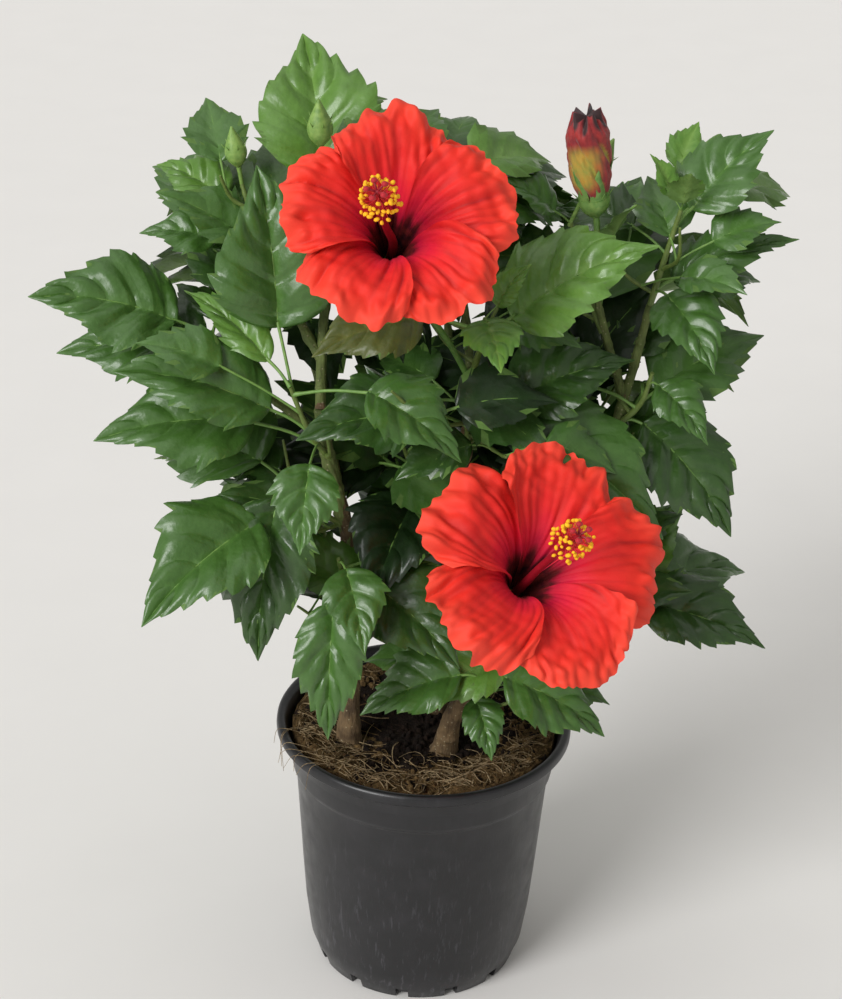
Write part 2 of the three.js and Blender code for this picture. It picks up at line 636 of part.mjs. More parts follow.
// A leaf that is in the way turns aside, by the least turn and rise that frees it.
const nudges = [0, 8, -8, 16, -16];
const asides = nudges.flatMap((turn) => nudges.map((lift) => [turn, lift]))
  .sort((a, b) => Math.abs(a[0]) + Math.abs(a[1]) - Math.abs(b[0]) - Math.abs(b[1]));

function growLeaf(mine, [along, heading, stalk, rise, ...size], fits) {
  asides.some(([turn, lift]) => {
    const leaf = leafOn(mine.twig, along, heading + turn, stalk, rise + lift, ...size);
    return fits(leaf, mine.shoot) && addLeaf(mine, leaf);
  });
}

const keepsToSpace = (leaf, shoot) => [0.5, 1].every((t) => inSpace(ribPoint(leaf, t), shoot));

growing.forEach((mine) => {
  if (mine.shoot.bud) mine.pieces.push(...greenBud(mine.twig, mine.shoot.bud));
});
growing.forEach((mine) => mine.shoot.told.forEach((row) => growLeaf(mine, row, () => true)));
growing.forEach((mine) => {
  const { shoot, twig, draw } = mine;
  const rows = [...ruledLeaves(shoot, twig, draw), ...tipLeaves(shoot, twig, draw)];
  rows.forEach((row) => growLeaf(mine, row, keepsToSpace));
});

// Nodes.
const colours = {
  pot: "#39383a", soil: "#3b2c20", stem: "#6b5a3c", bough: "#5f7040", foliage: "#3f6b2b", bloom: "#d8352a",
};
const group = new THREE.Group();

function addNode(name, whole, carrier) {
  const { vertProperties, triVerts } = whole.simplify(0.12).getMesh();
  const mesh = new THREE.Mesh(
    geometryOf(Array.from(vertProperties), Array.from(triVerts)),
    new THREE.MeshStandardMaterial({ color: colours[name.split("_")[0]] }),
  );
  mesh.name = name;
  mesh.userData.carrier = carrier;
  group.add(mesh);
}

addNode("pot", potSolid(), null);
addNode("soil", soilSolid(stems.map(([, points]) => points[0])), "pot");
stems.forEach(([name]) => addNode(name, made.get(name), "soil"));
boughs.forEach(([name, parent]) => addNode(name, made.get(name), parent));
growing.forEach((mine) => addNode(mine.shoot.name, largest(fuse(mine.pieces)), mine.shoot.on));
[...openBlooms, fadedBloom].forEach((plan) => addNode(plan.name, bloomSolids.get(plan.name), plan.on));

export default group;
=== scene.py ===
# A potted hibiscus shrub: its pot, soil, bark, leaves, buds and blooms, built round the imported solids.
# Shapes are worked out in millimetres, and fillPiece turns them to metres.

import math

import bpy
import bmesh
import numpy as np
from mathutils import Matrix, Vector
from mathutils.bvhtree import BVHTree


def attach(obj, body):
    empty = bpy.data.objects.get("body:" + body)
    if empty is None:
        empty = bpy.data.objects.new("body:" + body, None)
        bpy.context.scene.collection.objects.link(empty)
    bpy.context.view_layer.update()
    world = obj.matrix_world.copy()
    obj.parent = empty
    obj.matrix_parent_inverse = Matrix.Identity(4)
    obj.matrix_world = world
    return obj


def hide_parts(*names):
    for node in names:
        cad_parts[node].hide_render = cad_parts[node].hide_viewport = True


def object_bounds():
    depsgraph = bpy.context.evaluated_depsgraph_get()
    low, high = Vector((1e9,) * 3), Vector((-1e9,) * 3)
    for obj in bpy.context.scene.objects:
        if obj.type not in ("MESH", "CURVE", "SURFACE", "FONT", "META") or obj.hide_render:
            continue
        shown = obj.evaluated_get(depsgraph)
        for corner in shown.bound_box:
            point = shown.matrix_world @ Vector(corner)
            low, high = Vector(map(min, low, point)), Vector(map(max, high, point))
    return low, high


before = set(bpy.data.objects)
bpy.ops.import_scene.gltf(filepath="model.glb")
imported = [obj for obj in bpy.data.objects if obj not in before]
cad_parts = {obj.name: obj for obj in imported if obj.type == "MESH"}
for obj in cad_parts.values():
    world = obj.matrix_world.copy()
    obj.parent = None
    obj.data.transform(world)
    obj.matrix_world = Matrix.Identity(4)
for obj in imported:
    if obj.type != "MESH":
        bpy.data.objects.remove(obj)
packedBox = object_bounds()
print("frame: loaded", len(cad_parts), "solids")

metres = 0.001


def placed(name, data):
    # A new object of the scene, made of its data.
    thing = bpy.data.objects.new(name, data)
    bpy.context.scene.collection.objects.link(thing)
    return thing


# Colours, nodes and materials.

def linear(hexColour):
    # sRGB to linear: c / 12.92 when dark, otherwise ((c + 0.055) / 1.055) to the power 2.4.
    c = np.array([int(hexColour[k:k + 2], 16) for k in (1, 3, 5)]) / 255
    bent = np.where(c <= 0.04045, c / 12.92, ((c + 0.055) / 1.055) ** 2.4)
    return (*(float(x) for x in bent), 1.0)


def perMm(size):
    # A pattern that repeats every size millimetres, on coordinates in metres.
    return 1 / (size * metres)


def addNode(tree, kind, settings=(), links=()):
    # A setting is a property of the node, a ramp's stops, or the value of an unlinked socket.
    node = tree.nodes.new(kind)
    for key, value in dict(settings).items():
        if key == "stops":
            ramp = node.color_ramp.elements
            while len(ramp) < len(value):
                ramp.new(0.5)
            for stop, (place, colour) in zip(ramp, value):
                stop.position = place
                stop.color = linear(colour) if isinstance(colour, str) else (colour, colour, colour, 1)
        elif isinstance(key, str) and hasattr(node, key):
            setattr(node, key, value)
        else:
            node.inputs[key].default_value = value
    for key, socket in dict(links).items():
        tree.links.new(socket, node.inputs[key])
    return node


def newMaterial(name, settings):
    # A material with one Principled shader, whose plain values are given in settings.
    material = bpy.data.materials.new(name)
    material.use_nodes = True
    tree = material.node_tree
    shader = tree.nodes["Principled BSDF"]
    for key, value in settings.items():
        shader.inputs[key].default_value = linear(value) if isinstance(value, str) else value
    return material, tree, shader


def noiseOn(tree, size, detail=3, rough=0.55, stretch=(1, 1, 1)):
    # Noise with lumps of a real size in mm.
    place = addNode(tree, "ShaderNodeTexCoord").outputs["Object"]
    turned = addNode(tree, "ShaderNodeMapping", {"Scale": stretch}, {"Vector": place})
    noise = addNode(tree, "ShaderNodeTexNoise", {"Scale": perMm(size), "Detail": detail, "Roughness": rough},
                    {"Vector": turned.outputs[0]})
    return noise.outputs["Fac"]


def mixColours(tree, share, first, second, blend="MIX"):
    # first and second are sockets or hex colours.
    settings = {"data_type": "RGBA", "blend_type": blend}
    links = {}
    for key, value in ((0, share), (6, first), (7, second)):
        if isinstance(value, bpy.types.NodeSocket):
            links[key] = value
        else:
            settings[key] = linear(value) if isinstance(value, str) else value
    return addNode(tree, "ShaderNodeMix", settings, links).outputs[2]


def spreadTo(tree, value, low, high, fromLow=0.3, fromHigh=0.7):
    # Stretches a 0 to 1 pattern onto another range.
    return addNode(tree, "ShaderNodeMapRange", {"From Min": fromLow, "From Max": fromHigh, "To Min": low,
                                                "To Max": high}, {"Value": value}).outputs[0]


def patchOn(tree, size, detail=3, rough=0.55, stretch=(1, 1, 1)):
    # Noise stretched to run from 0 to 1.
    return spreadTo(tree, noiseOn(tree, size, detail, rough, stretch), 0, 1)


def paint(tree, shader, colour):
    tree.links.new(colour, shader.inputs["Base Color"])


def attributeOf(tree, name):
    return addNode(tree, "ShaderNodeAttribute", {"attribute_name": name}).outputs["Fac"]


def bumpFrom(tree, shader, height, distance):
    # distance is the relief in mm between a pattern's 0 and 1.
    bump = addNode(tree, "ShaderNodeBump", {"Distance": distance * metres, "Strength": 1}, {"Height": height})
    tree.links.new(bump.outputs[0], shader.inputs["Normal"])


def twoTone(name, low, high, size, settings, relief=()):
    # A skin that wanders between two colours. One with relief, told as (size, distance) in mm, shows
    # both of them in full.
    material, tree, shader = newMaterial(name, settings)
    share = patchOn(tree, size) if relief else noiseOn(tree, size)
    paint(tree, shader, mixColours(tree, share, low, high))
    if relief:
        bumpFrom(tree, shader, noiseOn(tree, relief[0], 2), relief[1])
    return material


# Meshes from grids of points.

def newHeap():
    return {"points": [], "quads": [], "slots": [], "values": {}, "count": 0}


def addGrid(heap, grid, slot=0, wrap=False, flip=False, values=()):
    # A grid of rows by columns of points becomes quads that face the cross of its row and column
    # directions; wrap joins the last column to the first, flip turns the quads over.
    rows, columns = grid.shape[:2]
    index = np.arange(rows * columns).reshape(rows, columns) + heap["count"]
    beside = np.roll(index, -1, axis=1) if wrap else index[:, 1:]
    here = index if wrap else index[:, :-1]
    quads = np.stack([here[:-1], here[1:], beside[1:], beside[:-1]], -1).reshape(-1, 4)
    heap["quads"].append(quads[:, ::-1] if flip else quads)
    heap["points"].append(grid.reshape(-1, 3))
    heap["slots"].append(np.full(len(quads), slot))
    for name, value in dict(values).items():
        heap["values"].setdefault(name, []).append(np.broadcast_to(value, (rows, columns)).reshape(-1))
    heap["count"] += rows * columns


def fillPiece(name, heap, materials, replaced=(), sharp=50):
    # Fills a mesh from the heap's arrays, closes its seams and poles, and lets it ride on the root.
    points = np.concatenate(heap["points"]) * metres
    quads = np.concatenate(heap["quads"])
    mesh = bpy.data.meshes.new(name)
    mesh.vertices.add(len(points))
    mesh.vertices.foreach_set("co", points.ravel())
    mesh.loops.add(quads.size)
    mesh.loops.foreach_set("vertex_index", quads.ravel())
    mesh.polygons.add(len(quads))
    mesh.polygons.foreach_set("loop_start", np.arange(0, quads.size, 4))
    mesh.polygons.foreach_set("material_index", np.concatenate(heap["slots"]))
    for key, values in heap["values"].items():
        layer = mesh.attributes.new(key, "FLOAT", "POINT")
        layer.data.foreach_set("value", np.concatenate(values).astype(np.float32))
    mesh.update(calc_edges=True)
    shape = bmesh.new()
    shape.from_mesh(mesh)
    bmesh.ops.remove_doubles(shape, verts=shape.verts, dist=2e-6)
    bmesh.ops.dissolve_degenerate(shape, edges=shape.edges, dist=1e-7)
    shape.to_mesh(mesh)
    shape.free()
    mesh.shade_smooth()
    mesh.set_sharp_from_angle(angle=math.radians(sharp))
    for material in materials:
        mesh.materials.append(material)
    piece = placed(name, mesh)
    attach(piece, "root")
    if replaced:
        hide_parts(*replaced)
    print("piece:", name, len(mesh.polygons), "faces")


def normalsOf(grid):
    # The cross of the row direction and the column direction at each point of a grid.
    alongRows = np.gradient(grid, axis=0)
    alongColumns = np.gradient(grid, axis=1)
    normal = np.cross(alongRows, alongColumns)
    return normal / np.maximum(np.linalg.norm(normal, axis=-1, keepdims=True), 1e-9)


def addSheet(heap, grid, thick, slots, values=()):
    # A thin closed sheet: the grid moved half its thickness out on both sides, which meet at the rim.
    rows, columns = grid.shape[:2]
    fromEdge = np.minimum(np.minimum(np.arange(rows), np.arange(rows)[::-1])[:, None],
                          np.minimum(np.arange(columns), np.arange(columns)[::-1])[None, :])
    half = 0.5 * thick * np.minimum(fromEdge / 2, 1)[..., None] * normalsOf(grid)
    addGrid(heap, grid + half, slots[0], values=values)
    addGrid(heap, grid - half, slots[1], flip=True, values=values)


def evenTurns(count):
    return np.linspace(0, 2 * np.pi, count, endpoint=False)


def toward(heading, rise):
    # The direction at a heading from +X towards +Y, raised above the level, in degrees.
    h, r = np.radians(heading), np.radians(rise)
    return np.stack([np.cos(r) * np.cos(h), np.cos(r) * np.sin(h), np.sin(r) + 0 * h], -1)


def onPath(path, t):
    # A cubic between each two points that leans on their neighbours; the ends lean on themselves.
    path = np.asarray(path, float)
    path = np.vstack([2 * path[0] - path[1], path, 2 * path[-1] - path[-2]])
    last = len(path) - 3
    t = np.asarray(t, float)
    i = np.minimum((t * last).astype(int), last - 1)
    u = (t * last - i)[..., None]
    a, b, c, d = (path[i + k] for k in range(4))
    return b + 0.5 * u * (c - a + u * (2 * a - 5 * b + 4 * c - d + u * (3 * (b - c) + d - a)))


def pathLength(path):
    points = onPath(path, np.linspace(0, 1, 25))
    return float(np.linalg.norm(np.diff(points, axis=0), axis=1).sum())


def tubeGrid(path, radius, sides, steps):
    # A round profile carried along a path: middle(t) + radius(t, turn) times the circle square to
    # the path. Rings of no radius close the ends. radius takes arrays of t and of turn.
    t = np.linspace(0, 1, steps + 1)
    middle = onPath(path, t)
    ahead = onPath(path, np.minimum(t + 0.01, 1)) - onPath(path, np.maximum(t - 0.01, 0))
    ahead /= np.linalg.norm(ahead, axis=1, keepdims=True)
    start = np.eye(3)[np.argmin(np.abs(ahead.mean(axis=0)))]
    side = start - (ahead @ start)[:, None] * ahead
    side /= np.linalg.norm(side, axis=1, keepdims=True)
    across = np.cross(ahead, side)
    turn = evenTurns(sides)
    out = radius(t[:, None], turn[None, :]) * np.ones((steps + 1, sides))
    ring = np.cos(turn)[None, :, None] * side[:, None] + np.sin(turn)[None, :, None] * across[:, None]
    grid = middle[:, None] + out[..., None] * ring
    ends = [np.broadcast_to(middle[k], (1, sides, 3)) for k in (0, -1)]
    return np.concatenate([ends[0], grid, ends[1]])


def padded(values):
    # Values for a tube's rings, with its closing rings' values added at both ends.
    return np.concatenate([values[:1], values, values[-1:]])


def ballGrid(sides):
    # A unit ball of five rings, from its top down.
    turn = evenTurns(sides)
    tilt = np.linspace(0, np.pi, 5)
    return np.stack([np.sin(tilt)[:, None] * np.cos(turn), np.sin(tilt)[:, None] * np.sin(turn),
                     np.cos(tilt)[:, None] * np.ones(sides)], -1)


def spindleAt(radii, t):
    # A smooth curve through radii at even heights, read at t.
    return onPath(np.stack([radii, 0 * radii, 0 * radii], -1), t[:, 0])[:, :1]


def addTube(heap, path, radius, sides, steps, slot=0):
    # Rings run against the path's own turn, so the quads are turned over to face out.
    addGrid(heap, tubeGrid(path, radius, sides, steps), slot, wrap=True, flip=True)


def seeded(start):
    # The same row of numbers as the source's rule draws: state = state * 1664525 + 1013904223.
    state = start

    def draw(low, high):
        nonlocal state
        state = (state * 1664525 + 1013904223) % 4294967296
        return low + (high - low) * state / 4294967296

    return draw


def shootDraw(kind, k):
    first, step = seeds[kind]
    return seeded(first + step * k)


def smooth(low, high, x):
    s = np.clip((x - low) / (high - low), 0, 1)
    return s * s * (3 - 2 * s)


def facing(place, turn, climb, spin):
    # A frame at a place that looks turned from the front and raised above the level.
    ahead = toward(turn - 90, climb)
    right = toward(turn, 0)
    over = np.cross(ahead, right)
    c, s = math.cos(math.radians(spin)), math.sin(math.radians(spin))

    def point(x, y, z):
        x, y, z = (np.asarray(value, float)[..., None] for value in (x, y, z))
        return place + (x * c - y * s) * right + (x * s + y * c) * over + z * ahead

    return point


# Camera, light and floor.

# The camera aims at a point in the middle of the plant, looks down on it, and leans a little.
view = {"aim": (-0.005, 0, 0.245), "away": 1.07, "down": 27, "roll": 2, "lens": 85}
# Half the floor's width in metres, the strength of the light from all round, and each soft light:
# where it comes from, how wide it is in degrees, and its strength.
room = {
    "floorHalf": 40, "air": 0.56,
    "lights": {"window": ((-1.1, -1.25, 0.9), 30, 2.5), "ceiling": ((-0.3, 0, 1), 60, 0.5)},
}


def setStage():
    lens = bpy.data.cameras.new("view")
    lens.lens = view["lens"]
    lens.clip_start = 0.01
    camera = placed("view", lens)
    camera.matrix_world = (Matrix.Translation(view["aim"])
                           @ Matrix.Rotation(math.radians(90 - view["down"]), 4, "X")
                           @ Matrix.Rotation(math.radians(view["roll"]), 4, "Z")
                           @ Matrix.Translation((0, 0, view["away"])))
    bpy.context.scene.camera = camera

    floorMaterial, tree, shader = newMaterial("paintedFloor", {"Roughness": 0.8})
    paint(tree, shader, mixColours(tree, noiseOn(tree, 60), "#e6e4e1", "#eae8e5"))
    mesh = bpy.data.meshes.new("floor")
    half = room["floorHalf"]
    corners = [(-half, -half, 0), (half, -half, 0), (half, half, 0), (-half, half, 0)]
    mesh.from_pydata(corners, [], [(0, 1, 2, 3)])
    mesh.materials.append(floorMaterial)
    placed("floor", mesh)

    for name, (way, width, strength) in room["lights"].items():
        data = bpy.data.lights.new(name, "SUN")
        data.angle = math.radians(width)
        data.energy = strength
        placed(name, data).rotation_euler = Vector(way).to_track_quat("Z", "Y").to_euler()

    world = bpy.data.worlds.new("room")
    world.use_nodes = True
    air = world.node_tree.nodes["Background"].inputs
    air["Color"].default_value = linear("#e6e5e2")
    air["Strength"].default_value = room["air"]
    bpy.context.scene.world = world
    bpy.context.scene.view_settings.view_transform = "Standard"
    print("stage: camera, floor and two soft lights")


setStage()


# The pot.

pot = {"height": 130, "ledge": 105, "foot": 48, "feet": 13, "footHeight": 5, "footGap": 5.5, "footInside": 41}


def mouldedPolypropylene():
    # Injection-moulded black polypropylene: a dull grey sheen, faint upright drag marks, and pale
    # dust and scuffs low down, where the pot has rubbed along the ground.
    material, tree, shader = newMaterial("mouldedPolypropylene", {"IOR": 1.49})
    dust = spreadTo(tree, noiseOn(tree, 14, 5, 0.62), 0, 1, 0.45, 0.75)
    scratch = spreadTo(tree, noiseOn(tree, 2.2, 4, 0.7, (1, 1, 0.14)), 0, 1, 0.56, 0.7)
    low = spreadTo(tree, addNode(tree, "ShaderNodeSeparateXYZ", (), {
        0: addNode(tree, "ShaderNodeTexCoord").outputs["Object"]}).outputs["Z"], 1, 0.12, 0, 0.1)
    worn = addNode(tree, "ShaderNodeMath", {"operation": "MULTIPLY"}, {0: scratch, 1: low}).outputs[0]
    base = mixColours(tree, dust, "#18181a", "#222124")
    paint(tree, shader, mixColours(tree, worn, base, "#454449"))
    tree.links.new(spreadTo(tree, noiseOn(tree, 9, 4), 0.28, 0.42), shader.inputs["Roughness"])
    bumpFrom(tree, shader, noiseOn(tree, 0.9, 2, 0.5, (1, 1, 0.3)), 0.03)
    return material


def potPiece():
    # Rings of a turned profile; under the wall the profile rises by the height of the gaps between
    # the feet, where the turn falls in a gap.
    top, ledge = pot["height"], pot["ledge"]
    wall = [(50.5, 6), (52.4, 11), (53, 15), (55, 30), (56.6, 50), (58, 70), (59.3, 88)]
    step = [(60.4, ledge - 1.6), (60.7, ledge - 0.4), (61.5, ledge + 0.3), (62, ledge + 0.9),
            (62.3, ledge + 2.5), (63.1, ledge + 11)]
    lip = [(63.9, top - 7.4), (64.1, top - 6.4), (65, top - 5.9), (67.6, top - 5.8), (69.2, top - 5.4),
           (69.9, top - 4.6), (70, top - 3.4), (69.8, top - 1.4), (69.3, top - 0.5), (68.4, top), (67.2, top),
           (66.4, top - 0.4)]
    inside = [(65.2, top - 2.5), (64.2, top - 5), (63.2, ledge + 11), (60.9, ledge + 1.4), (59.3, ledge - 1),
              (56.6, 70), (53.6, 30), (49, 6.5), (47, 2), (0, 2)]
    turns = []
    gapHalf = pot["footGap"] / 2 / pot["foot"]
    for k in range(pot["feet"]):
        middle = 2 * math.pi * (k + 0.5) / pot["feet"]
        half = math.pi / pot["feet"]
        turns += [middle + s for s in (*np.linspace(-half, -gapHalf - 0.006, 6)[1:], -gapHalf,
                                       -gapHalf / 3, gapHalf / 3, gapHalf,
                                       *np.linspace(gapHalf + 0.006, half, 6))]
    turns = np.array(turns)
    nearest = (turns / (2 * np.pi / pot["feet"])) % 1 - 0.5
    rise = pot["footHeight"] * (np.abs(nearest) * 2 * np.pi / pot["feet"] < gapHalf + 0.001)
    foot = [(0, 0), (pot["footInside"], 0)]
    under = [(pot["footInside"] + 0.1, 1), (48.2, 1), (48.8, 1)]
    profile = foot + under + wall + step + lip + inside
    radius = np.array([p[0] for p in profile], float)
    height = np.array([p[1] for p in profile], float)[:, None] * np.ones(len(turns))
    height[2:5] = rise + np.array([0, 0, 0.5])[:, None]
    circle = np.stack([np.cos(turns), np.sin(turns)], -1)
    grid = np.concatenate([radius[:, None, None] * circle, height[..., None]], -1)
    heap = newHeap()
    addGrid(heap, grid, wrap=True, flip=True)
    fillPiece("nurseryPot", heap, [mouldedPolypropylene()], ["pot"], sharp=35)


potPiece()


# Soil, crumbs and loose fibres.

# In mm and in numbers of pieces. heaps has the turns in degrees where the coir lies thickest and how
# far each heap spreads; the reaches are how far from the middle crumbs and fibres may lie.
soil = {"level": 124, "radius": 62.3, "lump": 2.2, "mat": 4, "crumbs": 1500, "fibres": 560, "threads": 9,
        "heaps": ((205, 34), (305, 30)), "coirFrom": 0.42, "seed": 41,
        "crumbReach": 61, "fibreReach": 60}
stemFeet = np.array([(-35, -15), (5, 15), (10, -20)], float)


def coirMat(x, y):
    # How thick the mat of coir lies, 0 to 1: heaped against the wall at two turns of the pot.
    turn = np.degrees(np.arctan2(y, x)) % 360
    heaps = sum(np.exp(-((turn - way) / spread) ** 2) for way, spread in soil["heaps"])
    return smooth(38, 58, np.hypot(x, y)) * np.minimum(heaps, 1)


def soilHeight(x, y):
    # The source's lumps, level round each stem's foot, with finer grains and the mat added.
    near = np.min(np.hypot(x[..., None] - stemFeet[:, 0], y[..., None] - stemFeet[:, 1]), axis=-1)
    share = np.clip((near - 15) / 10, 0, 1)
    lump = 0.5 * np.sin(0.19 * x + 1.3) * np.cos(0.16 * y) + 0.35 * np.sin(0.31 * x - 0.27 * y)
    lump += 0.15 * np.cos(0.43 * y + 0.4 * x)
    grain = np.sin(1.31 * x + 2.1 * np.sin(0.83 * y)) * np.sin(1.17 * y + 1.7 * np.sin(0.71 * x))
    grain += 0.6 * np.sin(2.9 * x + 1.4 * np.sin(2.3 * y)) * np.sin(2.7 * y + 1.3 * np.sin(1.9 * x))
    return soil["level"] + soil["lump"] * share * lump + 0.42 * grain + soil["mat"] * coirMat(x, y)


def peatMix(name, dark, pale, size):
    # Peat and coir: matt brown crumbs that wander between a dark and a pale colour, darker in the grains'
    # hollows; the coir is tan where its fibres have dried.
    material, tree, shader = newMaterial(name, {"Roughness": 0.95, "Specular IOR Level": 0.2})
    lumps = patchOn(tree, size * 4, 5, 0.7)
    grains = patchOn(tree, size, 4, 0.7)
    mixed = mixColours(tree, lumps, dark, pale)
    # Low grains, where the bump sinks, are darkened: painted shade in the hollows.
    shaded = mixColours(tree, grains, "#8a8078", "#ffffff")
    paint(tree, shader, mixColours(tree, 0.75, mixed, shaded, "MULTIPLY"))
    bumpFrom(tree, shader, grains, 0.7)
    return material


def soilBed():
    # The top: rings of points at radius r and turn q, raised by the height formula, over a closed side.
    rings, around = 110, 260
    r = np.concatenate([soil["radius"] * np.sqrt(np.linspace(0, 1, rings)), [62.6, 60.3, 58.8, 56.2, 48, 0]])
    q = evenTurns(around)
    x, y = r[:, None] * np.cos(q), r[:, None] * np.sin(q)
    z = soilHeight(x, y)
    z[rings:] = np.array([soil["level"] - 2.5, 107, 104, 70, 6.8, 6.8])[:, None]
    # Dark peat round the stems' feet, in the middle under the crown, is painted shade; tan coir lies further
    # out and on the heaps.
    outOfShade = smooth(30, 56, np.hypot(x - 8, y - 16)) * (0.62 + 0.38 * np.sin(0.09 * x - 0.11 * y + 2.2))
    heap = newHeap()
    slots = np.maximum(outOfShade, coirMat(x, y)) > soil["coirFrom"]
    addGrid(heap, np.stack([x, y, z], -1), wrap=True)
    heap["slots"][-1] = slots[:-1].reshape(-1).astype(int)
    fillPiece("soilBed", heap, [darkPeat, dryCoir], ["soil"], sharp=80)


def soilCrumbs(draw):
    # Small lumpy balls, sunk to half their height in the top.
    heap = newHeap()
    ball = ballGrid(6)
    offPoles = np.sin(np.linspace(0, np.pi, 5))[:, None, None]
    for _ in range(soil["crumbs"]):
        far, way = soil["crumbReach"] * math.sqrt(draw.uniform()), draw.uniform(0, 2 * math.pi)
        x, y = far * math.cos(way), far * math.sin(way)
        size = draw.uniform(0.5, 1.5) ** 2 * 0.9
        lumpy = ball * (1 + draw.uniform(-0.3, 0.3, (5, 6, 1)) * offPoles)
        lumpy = lumpy * size * draw.uniform(0.6, 1.3, 3)
        place = np.array([x, y, soilHeight(np.array(x), np.array(y)) + 0.25 * size])
        # Crumbs near the middle, under the crown, are dark peat as painted shade; further out and on the coir
        # heaps they are tan.
        tanShare = max(0.75 * smooth(20, 60, far), coirMat(np.array(x), np.array(y)))
        addGrid(heap, lumpy + place, int(draw.uniform() < tanShare), wrap=True)
    fillPiece("soilCrumbs", heap, [darkPeat, dryCoir], sharp=60)


def soilFibres(draw):
    # Thin threads that lie bent on the top, thickest near the wall.
    heap = newHeap()
    most = soil["fibreReach"]
    for k in range(soil["fibres"]):
        far, way = most * draw.uniform(0.25, 1) ** 0.6, draw.uniform(0, 2 * math.pi)
        if k % 3 > 0:  # matted in front, to the left and to the right
            far, way = draw.uniform(42, most), math.radians(draw.normal(205 if k % 3 == 1 else 300, 26))
        length, head = draw.uniform(6, 26), draw.uniform(0, 2 * math.pi)
        s = np.linspace(-0.5, 0.5, 5)
        bent = head + draw.uniform(-1.6, 1.6) * s
        x = np.clip(far * math.cos(way) + length * s * np.cos(bent), -most, most)
        y = np.clip(far * math.sin(way) + length * s * np.sin(bent), -most, most)
        shrink = np.minimum(1, (most + 0.5) / np.maximum(np.hypot(x, y), 1))
        x, y = x * shrink, y * shrink
        z = soilHeight(x, y) + 0.4 + draw.uniform(0, 1.6) * (1 - 4 * s * s) + draw.uniform(0, 1.2)
        thick = draw.uniform(0.12, 0.3)
        addTube(heap, np.stack([x, y, z], -1), lambda t, turn: thick * (1.1 - 0.5 * t), 4, 7,
                int(draw.uniform() < 0.6))
    for _ in range(soil["threads"]):  # loose threads that hang over the lip
        way = math.radians(draw.uniform(190, 240))
        reach = np.array([57, 65, 70.3, 71.5]) + draw.uniform(0, 0.8)
        ways = way + draw.uniform(-0.12, 0.12) * np.arange(4)
        high = np.array([127.5, 130.6, 129.6, draw.uniform(116, 126)])
        thread = np.stack([reach * np.cos(ways), reach * np.sin(ways), high], -1)
        addTube(heap, thread, lambda t, turn: 0.2 - 0.1 * t, 4, 12, 1)
    fillPiece("soilFibres", heap, [dryCoir, paleFibre], sharp=80)


# The dark peat is set in the middle, under the crown, as painted shade.
darkPeat = peatMix("paintedShadePeat", "#17110d", "#33241a", 0.9)
dryCoir = peatMix("dryCoir", "#48361f", "#94784e", 0.9)
paleFibre = peatMix("dryRootFibre", "#8a7355", "#cbb48c", 1.5)
soilDraw = np.random.default_rng(soil["seed"])
soilBed()
soilCrumbs(soilDraw)
soilFibres(soilDraw)


# Stems and boughs, with their bark.

# Each limb's path from its foot, and its radius at the foot and at the tip.
stems = {
    "stem_left": ([(-35, -15, 124), (-35, -15, 180), (-35, -20, 225), (-45, -25, 270), (-50, -25, 300)],
                  4.4, 2.7),
    "stem_middle": ([(5, 15, 124), (10, 5, 180), (10, 0, 235), (15, -10, 290), (15, -10, 315)], 4.2, 2.5),
    "stem_right": ([(10, -20, 124), (15, -25, 150), (35, -30, 180), (50, -20, 210), (60, -10, 235)],
                   4.8, 3.0),
}
boughs = {
    "bough_top": ([(-50, -25, 300), (-50, -11, 332), (-46, -3, 366)], 2.4, 1.7),
    "bough_left": ([(-47, -25, 284), (-64, -23, 298), (-80, -20, 308)], 2.0, 1.6),
    "bough_upper_left": ([(-51, -16, 320), (-62, -9, 338), (-71, -6, 353)], 1.9, 1.5),
    "bough_back_left": ([(-40, -23, 254), (-50, 6, 286), (-60, 34, 318)], 2.1, 1.6),
    "bough_back": ([(13, -2, 250), (8, 28, 290), (2, 50, 328)], 2.2, 1.6),
    "bough_mid_top": ([(16, -11, 302), (12, 2, 332), (8, 10, 356)], 1.9, 1.5),
    "bough_right": ([(60, -10, 235), (76, -4, 272), (86, 2, 310), (92, 4, 342)], 2.7, 1.7),
    "bough_faded": ([(83, 0, 300), (74, 4, 326), (67, 3, 350)], 1.8, 1.5),
    "bough_back_right": ([(53, -19, 214), (58, 16, 260), (64, 44, 298)], 2.2, 1.6),
}
# woody is the share of each stem's length that is brown; above it, and on boughs, the bark is green.
bark = {"flare": 2.6, "nodeEvery": 17, "nodeProud": 0.55, "ridge": 0.22, "sides": 28, "sunk": 1.5,
        "woody": {"stem_left": 0.62, "stem_middle": 0.75, "stem_right": 0.8}}


def shrubBark(name, dark, pale, ridge):
    # Bark of a young shrub: fine upright cracks on wood, and a smooth skin with pale dots higher up.
    material, tree, shader = newMaterial(name, {"Roughness": 0.72, "Specular IOR Level": 0.35})
    cracks = patchOn(tree, 1.1, 4, 0.65, (1, 1, 0.22))
    blotch = patchOn(tree, 7)
    dots = addNode(tree, "ShaderNodeTexVoronoi", {"Scale": perMm(2.4)},
                   {"Vector": addNode(tree, "ShaderNodeTexCoord").outputs["Object"]}).outputs["Distance"]
    speck = spreadTo(tree, dots, 1, 0, 0.12, 0.2)
    tone = mixColours(tree, blotch, dark, pale)
    lined = mixColours(tree, spreadTo(tree, cracks, 0.5, 0, 0, 0.5), tone, "#2a2018")
    paint(tree, shader, mixColours(tree, spreadTo(tree, speck, 0, 0.5, 0, 1), lined, "#b5a98a"))
    bumpFrom(tree, shader, cracks, ridge)
    return material


